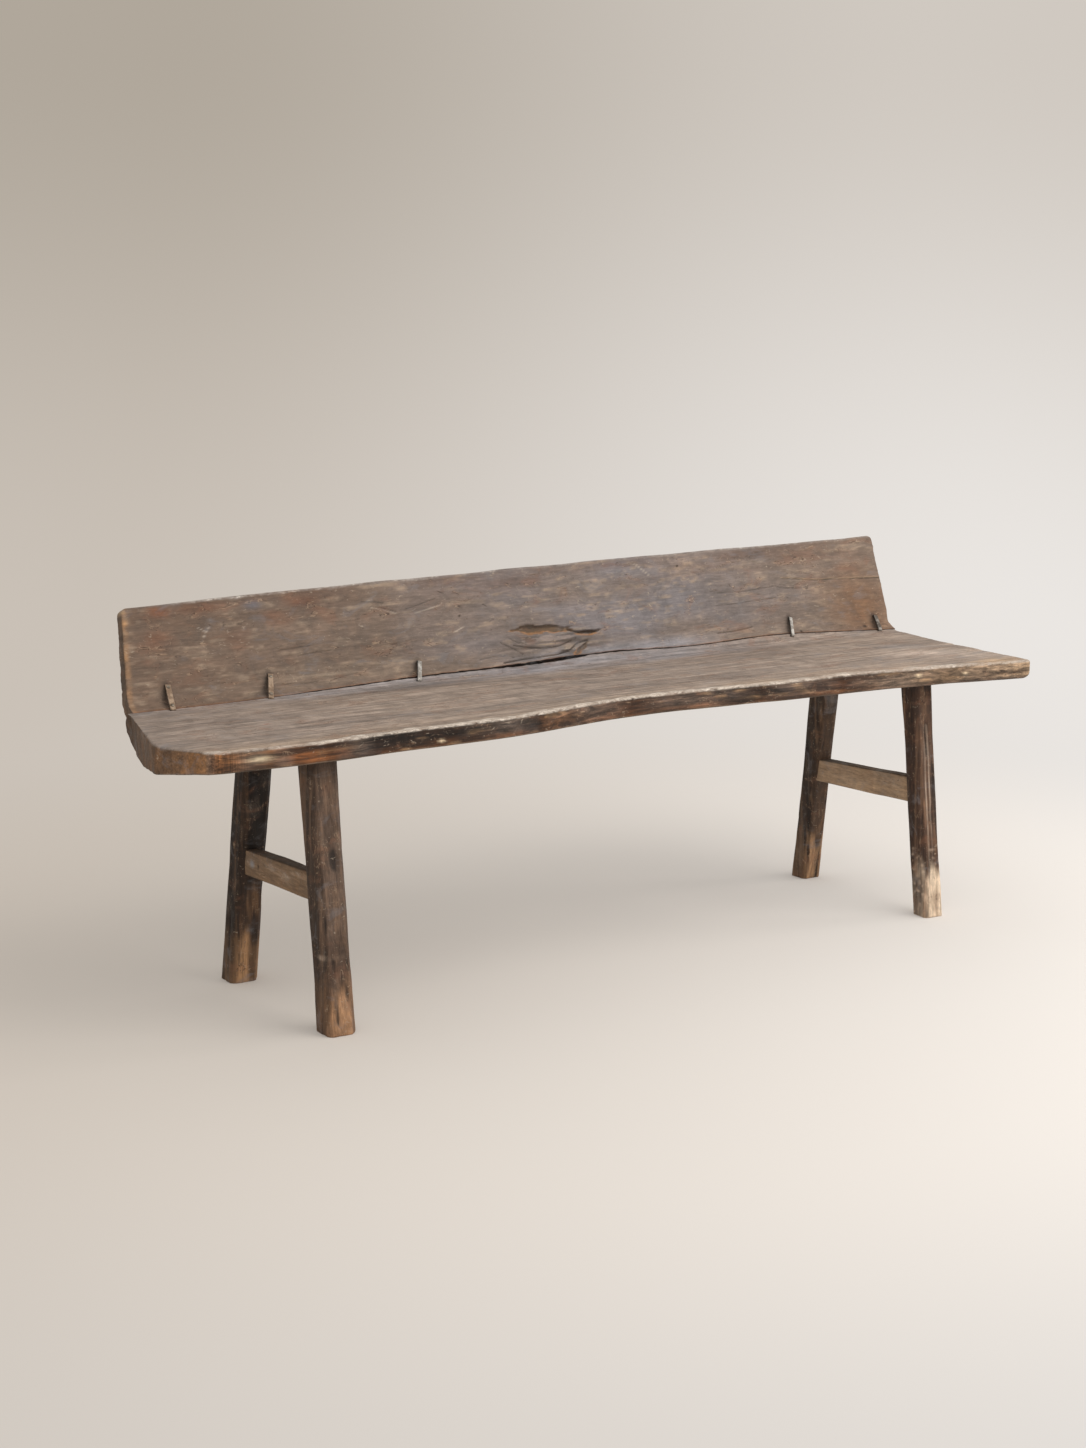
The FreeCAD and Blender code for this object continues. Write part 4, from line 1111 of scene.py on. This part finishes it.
def make_stretcher(name, number):
    """A flat bar on edge between two legs, with soft arrises."""
    rear_leg, front_leg, rear, front = STRETCHERS[name]
    face_code, top_code = STRETCHER_TONES[name]
    start = np.array(leg_axis(rear_leg, rear[0]))
    end = np.array(leg_axis(front_leg, front[0]))
    run = (end - start) / np.linalg.norm(end - start)
    start = start + run * END_DEPTH
    end = end - run * END_DEPTH
    size = (24.0, 42.0, 300.0)
    thick = lines((0, 1.3), (6, 2.4), (18, 1.3), (24, 1))
    tall = lines((0, 1.3), (7, 2.4), (35, 1.3), (42, 1))
    corners, faces = lattice(thick, tall, lines((0, 3.0), (300, 1)))
    seed = 200 + 20 * number
    soften = 3.2 + 1.4 * waves(corners, (60, 60, 45), seed)
    rounded = worn(corners, size, soften, 0.5)
    share = rounded[:, 2] / size[2]
    thickness = REAR_THICKNESS + (FRONT_THICKNESS - REAR_THICKNESS) * share
    height = rear[1] + (front[1] - rear[1]) * share
    centre = start[None, :] + share[:, None] * (end - start)[None, :]
    x = centre[:, 0] - STRETCHER_SHIFT + (rounded[:, 0] / size[0] - 0.5) * thickness
    z = centre[:, 2] + (rounded[:, 1] / size[1] - 0.5) * height
    points = np.column_stack([x, centre[:, 1], z])
    # this turns the faces inward: the bar's measures are right-handed and don't need it
    faces = faces[:, ::-1]
    direction = outward(points, faces)
    lift = 0.7 * waves(points, (60, 90, 24), seed + 1) + 0.3 * waves(points, (20, 40, 8), seed + 2)
    lift += 0.2 * waves(points, (20, 60, 3), seed + 3) - 0.3
    points = points + direction * lift[:, None]
    colours = wash(points, face_code)
    paint(colours, eased((direction[:, 2] - 0.4) / 0.4), top_code, 0.9)
    paint(colours, patchy(points, (50, 60, 14), seed + 4), "#6e5b4b", 0.5)
    paint(colours, eased((-direction[:, 2] - 0.4) / 0.4), "#3f342b", 0.8)
    if name == "stretcher_left":
        paint_marks(colours, 1.0, points[:, 1:], BAR_STAINS)
    piece = finished("hewn_" + name, points, faces, [name])
    dress(piece, colours, wear=0.25 * spots(points, (30, 40, 9), seed + 5))
    return piece


# Irons: top and bottom as place along the bench and height above the cove's middle, width
IRONS = {
    "strap_outer_left": ((-636.5, 28.0), (-645.5, -22.0), 9.5),
    "strap_inner_left": ((-464.0, 28.0), (-481.0, -19.0), 9.0),
    "cramp_centre": ((-200.0, 25.0), (-217.5, -15.5), 7.5),
    "cramp_inner_right": ((549.5, 33.0), (538.5, -4.0), 6.5),
    "cramp_outer_right": ((737.5, 22.0), (727.0, -15.5), 8.0),
}
STRAP_THICKNESS = 2.2
CRAMP_THICKNESS = 3.4
PRONG_LENGTH = 11.0
PRONG_BEND = 2.0            # the prong is straight below this depth
PRONG_RUN = PRONG_LENGTH - PRONG_BEND
NAIL_INSET = 6.0
NAIL_SIZES = {              # in metres
    "Head radius": 0.0031,
    "Head height": 0.0012,
    "Shank radius": 0.0013,
    "Shank length": 0.0138,
}


def wood_surface(height):
    """The wood's surface across the crack at a height above the middle of the cove, as y and z."""
    inside = min(max(height, -COVE_LIMIT), COVE_LIMIT)
    point = cove_point(np.array([inside]))[0]
    slope = UP_BACK if height > 0 else np.array([1.0, 0.0])
    return point + slope * ((height - inside) / (UP_COVE @ slope))


def iron_frame(name):
    """An iron's top and bottom on the wood, with its run, its side and its outward direction."""
    (top_x, top_height), (bottom_x, bottom_height), _ = IRONS[name]
    top = np.array([top_x, *wood_surface(top_height)])
    bottom = np.array([bottom_x, *wood_surface(bottom_height)])
    run = (top - bottom) / np.linalg.norm(top - bottom)
    out = -np.cross(run, [1.0, 0.0, 0.0])
    out /= np.linalg.norm(out)
    return top, bottom, run, np.cross(run, out), out


def make_iron(name, number, material):
    """A forged iron: a flat crown over the crack, with one or both ends turned into the wood."""
    top, bottom, run, side, out = iron_frame(name)
    width = IRONS[name][2]
    is_strap = name.startswith("strap")
    thickness = STRAP_THICKNESS if is_strap else CRAMP_THICKNESS
    length = np.linalg.norm(top - bottom)
    bend = thickness * 0.75
    middle = thickness / 2
    quarter = np.linspace(0, math.pi / 2, 7)
    path = [(middle, -PRONG_LENGTH + PRONG_RUN * i / 5) for i in range(6)]
    path += [(middle + bend * (1 - math.cos(t)), middle - bend * (1 - math.sin(t))) for t in quarter]
    path += [(s, middle) for s in np.linspace(middle + bend, length - middle - bend, 22)[1:-1]]
    if is_strap:
        path += [(length - middle - bend, middle), (length - bend / 2, middle), (length, middle)]
    else:
        path += [(length - middle - bend * (1 - math.sin(t)), middle - bend * (1 - math.cos(t)))
                 for t in quarter]
        path += [(length - middle, -PRONG_BEND - PRONG_RUN * i / 5) for i in range(6)]
    path = np.array(path)
    tangent = np.gradient(path, axis=0)
    tangent /= np.linalg.norm(tangent, axis=1)[:, None]
    normal = np.column_stack([-tangent[:, 1], tangent[:, 0]])
    size = (width, thickness, len(path) - 1.0)
    corners, faces = lattice(lines((0, 0.45), (2, 1.0), (width - 2, 0.45), (width, 1)),
                             np.linspace(0, thickness, 6), np.arange(len(path)))
    rounded = worn(corners, size, 0.8, 0.4)
    place = corners[:, 2].astype(int)
    taper = between(path[:, 1], (-PRONG_LENGTH, -PRONG_BEND, 10.0), (0.4, 1.0, 1.0))[place]
    across = (rounded[:, 0] - width / 2) * taper
    through = (rounded[:, 1] - thickness / 2) * taper
    flat = path[place] + normal[place] * through[:, None]
    points = bottom + flat[:, :1] * run + flat[:, 1:] * out + across[:, None] * side
    direction = outward(points, faces)
    first, second, third = (points[faces[:, i]] for i in range(3))
    if (first * np.cross(second, third)).sum() < 0:
        faces = faces[:, ::-1]
        direction = -direction
    seed = 300 + 20 * number
    lift = 0.28 * waves(points, (6, 6, 6), seed) + 0.12 * waves(points, (2, 2, 2), seed + 1) - 0.1
    points = points + direction * lift[:, None]
    edge = eased(1 - corners[:, 0] / 1.5)
    buried = eased((1.0 - flat[:, 1]) / 2.0)
    shade = 0.7 * edge + 0.8 * buried + 0.25 * spots(points, (4, 4, 9), seed + 2)
    piece = finished("forged_" + name, points, faces, [name])
    store(piece, "shade", np.clip(shade, 0, 1))
    piece.data.materials.append(material)
    return piece


def make_nails(material):
    """The four nails of the straps: one nail set on every seat by Geometry Nodes."""
    seats = []
    directions = []
    for name in ("strap_outer_left", "strap_inner_left"):
        top, bottom, run, _, out = iron_frame(name)
        for seat in (top - run * NAIL_INSET, bottom + run * (NAIL_INSET + STRAP_THICKNESS)):
            seats.append((seat + out * STRAP_THICKNESS) * 0.001)
            directions.append(out)
    mesh = bpy.data.meshes.new("nail_seats")
    mesh.from_pydata([list(seat) for seat in seats], [], [])
    attribute = mesh.attributes.new("stands", "FLOAT_VECTOR", "POINT")
    attribute.data.foreach_set("vector", np.array(directions, np.float32).ravel())
    holder = added("nail_seats", mesh)

    tree = bpy.data.node_groups.new("nails_on_seats", "GeometryNodeTree")
    tree.interface.new_socket("Geometry", in_out="INPUT", socket_type="NodeSocketGeometry")
    for label in NAIL_SIZES:
        tree.interface.new_socket(label, in_out="INPUT", socket_type="NodeSocketFloat")
    tree.interface.new_socket("Geometry", in_out="OUTPUT", socket_type="NodeSocketGeometry")
    given = node(tree, "NodeGroupInput").outputs
    ball = node(tree, "GeometryNodeMeshUVSphere", [("Segments", 20), ("Rings", 12), ("Radius", 1.0)])
    head_size = node(tree, "ShaderNodeCombineXYZ", [(0, given["Head radius"]), (1, given["Head radius"]),
                                                   (2, given["Head height"])])
    head = node(tree, "GeometryNodeTransform",
                [("Geometry", ball.outputs[0]), ("Scale", head_size.outputs[0])])
    wobble = node(tree, "ShaderNodeTexNoise", [("Scale", 900.0)])
    shift = node(tree, "ShaderNodeVectorMath", [(0, wobble.outputs[1]), (1, (0.0007, 0.0007, 0.0003))],
                 operation="MULTIPLY")
    uneven = node(tree, "GeometryNodeSetPosition",
                  [("Geometry", head.outputs[0]), ("Offset", shift.outputs[0])])
    deep = node(tree, "ShaderNodeCombineXYZ", [(2, maths(tree, "MULTIPLY", given["Shank length"], -1.0))])
    shank = node(tree, "GeometryNodeMeshCone", [("Vertices", 8), ("Radius Top", given["Shank radius"]),
                                               ("Radius Bottom", 0.0004), ("Depth", given["Shank length"])])
    sunk = node(tree, "GeometryNodeTransform",
                [("Geometry", shank.outputs[0]), ("Translation", deep.outputs[0])])
    nail = node(tree, "GeometryNodeJoinGeometry", [(0, uneven.outputs[0])])
    tree.links.new(sunk.outputs[0], nail.inputs[0])
    facing = node(tree, "GeometryNodeInputNamedAttribute", [("Name", "stands")],
                  data_type="FLOAT_VECTOR")
    turned = node(tree, "FunctionNodeAlignRotationToVector", [("Vector", facing.outputs[0])])
    placed = node(tree, "GeometryNodeInstanceOnPoints", [("Points", given["Geometry"]),
                                                        ("Instance", nail.outputs[0]),
                                                        ("Rotation", turned.outputs[0])])
    real = node(tree, "GeometryNodeRealizeInstances", [("Geometry", placed.outputs[0])])
    dressed = node(tree, "GeometryNodeSetMaterial",
                   [("Geometry", real.outputs[0]), ("Material", material)])
    node(tree, "NodeGroupOutput", [(0, dressed.outputs[0])])
    modifier = holder.modifiers.new("nails", "NODES")
    modifier.node_group = tree
    for item in tree.interface.items_tree:
        if item.in_out == "INPUT" and item.name in NAIL_SIZES:
            modifier[item.identifier] = NAIL_SIZES[item.name]
    shown = holder.evaluated_get(bpy.context.evaluated_depsgraph_get())
    nails = bpy.data.meshes.new_from_object(shown)
    nails.name = "forged_nails"
    bpy.data.objects.remove(holder)
    piece = added("forged_nails", nails)
    smoothed(nails)
    store(piece, "shade", np.full(len(nails.vertices), 0.25))
    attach(piece, "root")
    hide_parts("strap_nails")
    return piece


make_seat()
make_back()
leg_wood = old_wood("hewn_softwood_legs", 2, (190, 15, 0.18), (70, 4.5, 0.26), (24, 2.2, 0.2),
                    worn_colour="#a08b78")
for number, name in enumerate(LEGS):
    make_leg(name, number).data.materials.append(leg_wood)
stretcher_wood = old_wood("split_softwood_stretchers", 1, (120, 15, 0.14), (40, 5, 0.2), (16, 2.4, 0.16),
                          worn_colour="#bcae9f")
for number, name in enumerate(STRETCHERS):
    make_stretcher(name, number).data.materials.append(stretcher_wood)
strap_iron = old_iron("oxidised_strap_iron", "#a38c76", "#87705b", 0.2, 0.62)
light_cramp_iron = old_iron("rubbed_cramp_iron", "#b5b1ab", "#8b857e", 0.4, 0.5)
dark_cramp_iron = old_iron("dark_cramp_iron", "#8b857e", "#5c544c", 0.4, 0.5)
nail_iron = old_iron("forged_nail_iron", "#a89c8c", "#6f6152", 0.3, 0.55)
IRON_FINISH = {
    "strap_outer_left": ("strap_iron", strap_iron),
    "strap_inner_left": ("strap_iron", strap_iron),
    "cramp_centre": ("cramp_iron", light_cramp_iron),
    "cramp_inner_right": ("cramp_iron", light_cramp_iron),
    "cramp_outer_right": ("cramp_iron", dark_cramp_iron),
}
for number, (name, (slot, material)) in enumerate(IRON_FINISH.items()):
    make_iron(name, number, material)
make_nails(nail_iron)


# Camera, at the photograph's viewing angle
VIEW_YAW = math.radians(32.024)
VIEW_PITCH = math.radians(11.382)
camera = added("camera", bpy.data.cameras.new("camera"))
camera.location = (-2.14007, -3.31724, 1.1667)
camera.rotation_euler = (math.pi / 2 - VIEW_PITCH, 0, -VIEW_YAW)
camera.data.sensor_width = 36.0
camera.data.lens = 62.46
bpy.context.scene.camera = camera


# Floor and backdrop: one seamless sheet of warm pale paper, a little darker to the left and up
FLOOR_RADIUS = 3.2
BOWL_RADIUS = 2.5
LIT_RADIUS = 0.95           # out to here the floor takes the light and the shadows
# the floor's painted glow: the share of its own colour that it gives off, which lightens its shadows
SHADOW_LIFT = 0.22          # share of its own colour that the floor shows even in the shadows


def paper():
    """Matt seamless paper with a painted glow of its own colour: around the bench the glow lightens the
    diffuse floor's shadows, and further out only the glow is seen.
    """
    material, tree, surface = new_material("seamless_paper")
    coords = node(tree, "ShaderNodeTexCoord").outputs["Object"]
    turned = node(tree, "ShaderNodeMapping", [(0, coords), ("Rotation", (0, 0, VIEW_YAW))])
    axes = node(tree, "ShaderNodeSeparateXYZ", [(0, turned.outputs[0])])
    side = between_values(tree, axes.outputs[0], -1.5, 1.5, 0.0, 1.0)
    up = between_values(tree, axes.outputs[2], -0.3, 1.8, 0.0, 1.0)
    low = blend(tree, side, linear("#cbc2b8"), linear("#ece8e4"))
    high = blend(tree, side, linear("#b0a79b"), linear("#d0c9c1"))
    colour = blend(tree, up, low, high)
    away = node(tree, "ShaderNodeVectorMath", [(0, turned.outputs[0])], operation="LENGTH")
    far = between_values(tree, away.outputs["Value"], LIT_RADIUS, LIT_RADIUS + 1.0, SHADOW_LIFT, 1.0)
    rays = node(tree, "ShaderNodeLightPath").outputs
    seen = maths(tree, "MAXIMUM", rays["Is Camera Ray"], rays["Is Glossy Ray"])
    seen = maths(tree, "MAXIMUM", seen, rays["Is Transmission Ray"])
    matt = node(tree, "ShaderNodeBsdfDiffuse", [("Color", colour)])
    # painted glow of the paper's own colour
    painted_glow = node(tree, "ShaderNodeEmission", [("Color", colour), ("Strength", 1.0)])
    shown = node(tree, "ShaderNodeMixShader",
                 [(0, maths(tree, "MULTIPLY", far, seen)), (1, matt.outputs[0]), (2, painted_glow.outputs[0])])
    tree.links.new(shown.outputs[0], surface)
    return material


def turned_sheet(name, profile, material):
    """A sheet turned round the middle of the bench from points of radius and height."""
    count = 96
    points = []
    faces = []
    for radius, height in profile:
        for i in range(count):
            angle = 2 * math.pi * i / count
            points.append((radius * math.cos(angle), radius * math.sin(angle), height))
    for ring in range(len(profile) - 1):
        for i in range(count):
            j = (i + 1) % count
            low = ring * count
            faces.append((low + i, low + j, low + count + j, low + count + i))
    mesh = bpy.data.meshes.new(name)
    mesh.from_pydata(points, [], faces)
    smoothed(mesh)
    mesh.materials.append(material)
    sheet = added(name, mesh)
    return sheet


paper_sheet = paper()
turned_sheet("floor", [(FLOOR_RADIUS, 0), (0.001, 0)], paper_sheet)
bowl = [(FLOOR_RADIUS + BOWL_RADIUS * math.sin(t), BOWL_RADIUS * (1 - math.cos(t)))
        for t in np.linspace(0, math.pi / 2, 24)]
bowl.append((FLOOR_RADIUS + BOWL_RADIUS, 6.0))
backdrop = turned_sheet("backdrop", bowl[::-1], paper_sheet)
backdrop.visible_diffuse = False
backdrop.visible_shadow = False


def soft_light(name, place, target, width, height, watts, code):
    """A rectangular soft light that faces a target."""
    lamp = bpy.data.lights.new(name, "AREA")
    lamp.shape = "RECTANGLE"
    lamp.size = width
    lamp.size_y = height
    lamp.energy = watts
    lamp.color = linear(code)[:3]
    light = added(name, lamp)
    light.location = place
    light.rotation_euler = (Vector(target) - Vector(place)).to_track_quat("-Z", "Y").to_euler()
    return light


soft_light("key_light", (1.3, -1.9, 2.8), (0.0, 0.0, 0.3), 2.6, 2.6, 56.0, "#fffbf6")
soft_light("side_light", (3.4, -0.9, 1.3), (0.0, 0.0, 0.2), 0.9, 0.9, 17.0, "#fffaf4")
soft_light("fill_light", (-1.6, -3.4, 1.8), (0.0, 0.0, 0.4), 2.6, 1.8, 16.0, "#fcf9f5")
world = bpy.data.worlds.new("studio_air")
bpy.context.scene.world = world
world.use_nodes = True
world.node_tree.nodes["Background"].inputs["Color"].default_value = linear("#f3f1ee")
world.node_tree.nodes["Background"].inputs["Strength"].default_value = 0.86
bpy.context.scene.view_settings.view_transform = "Standard"
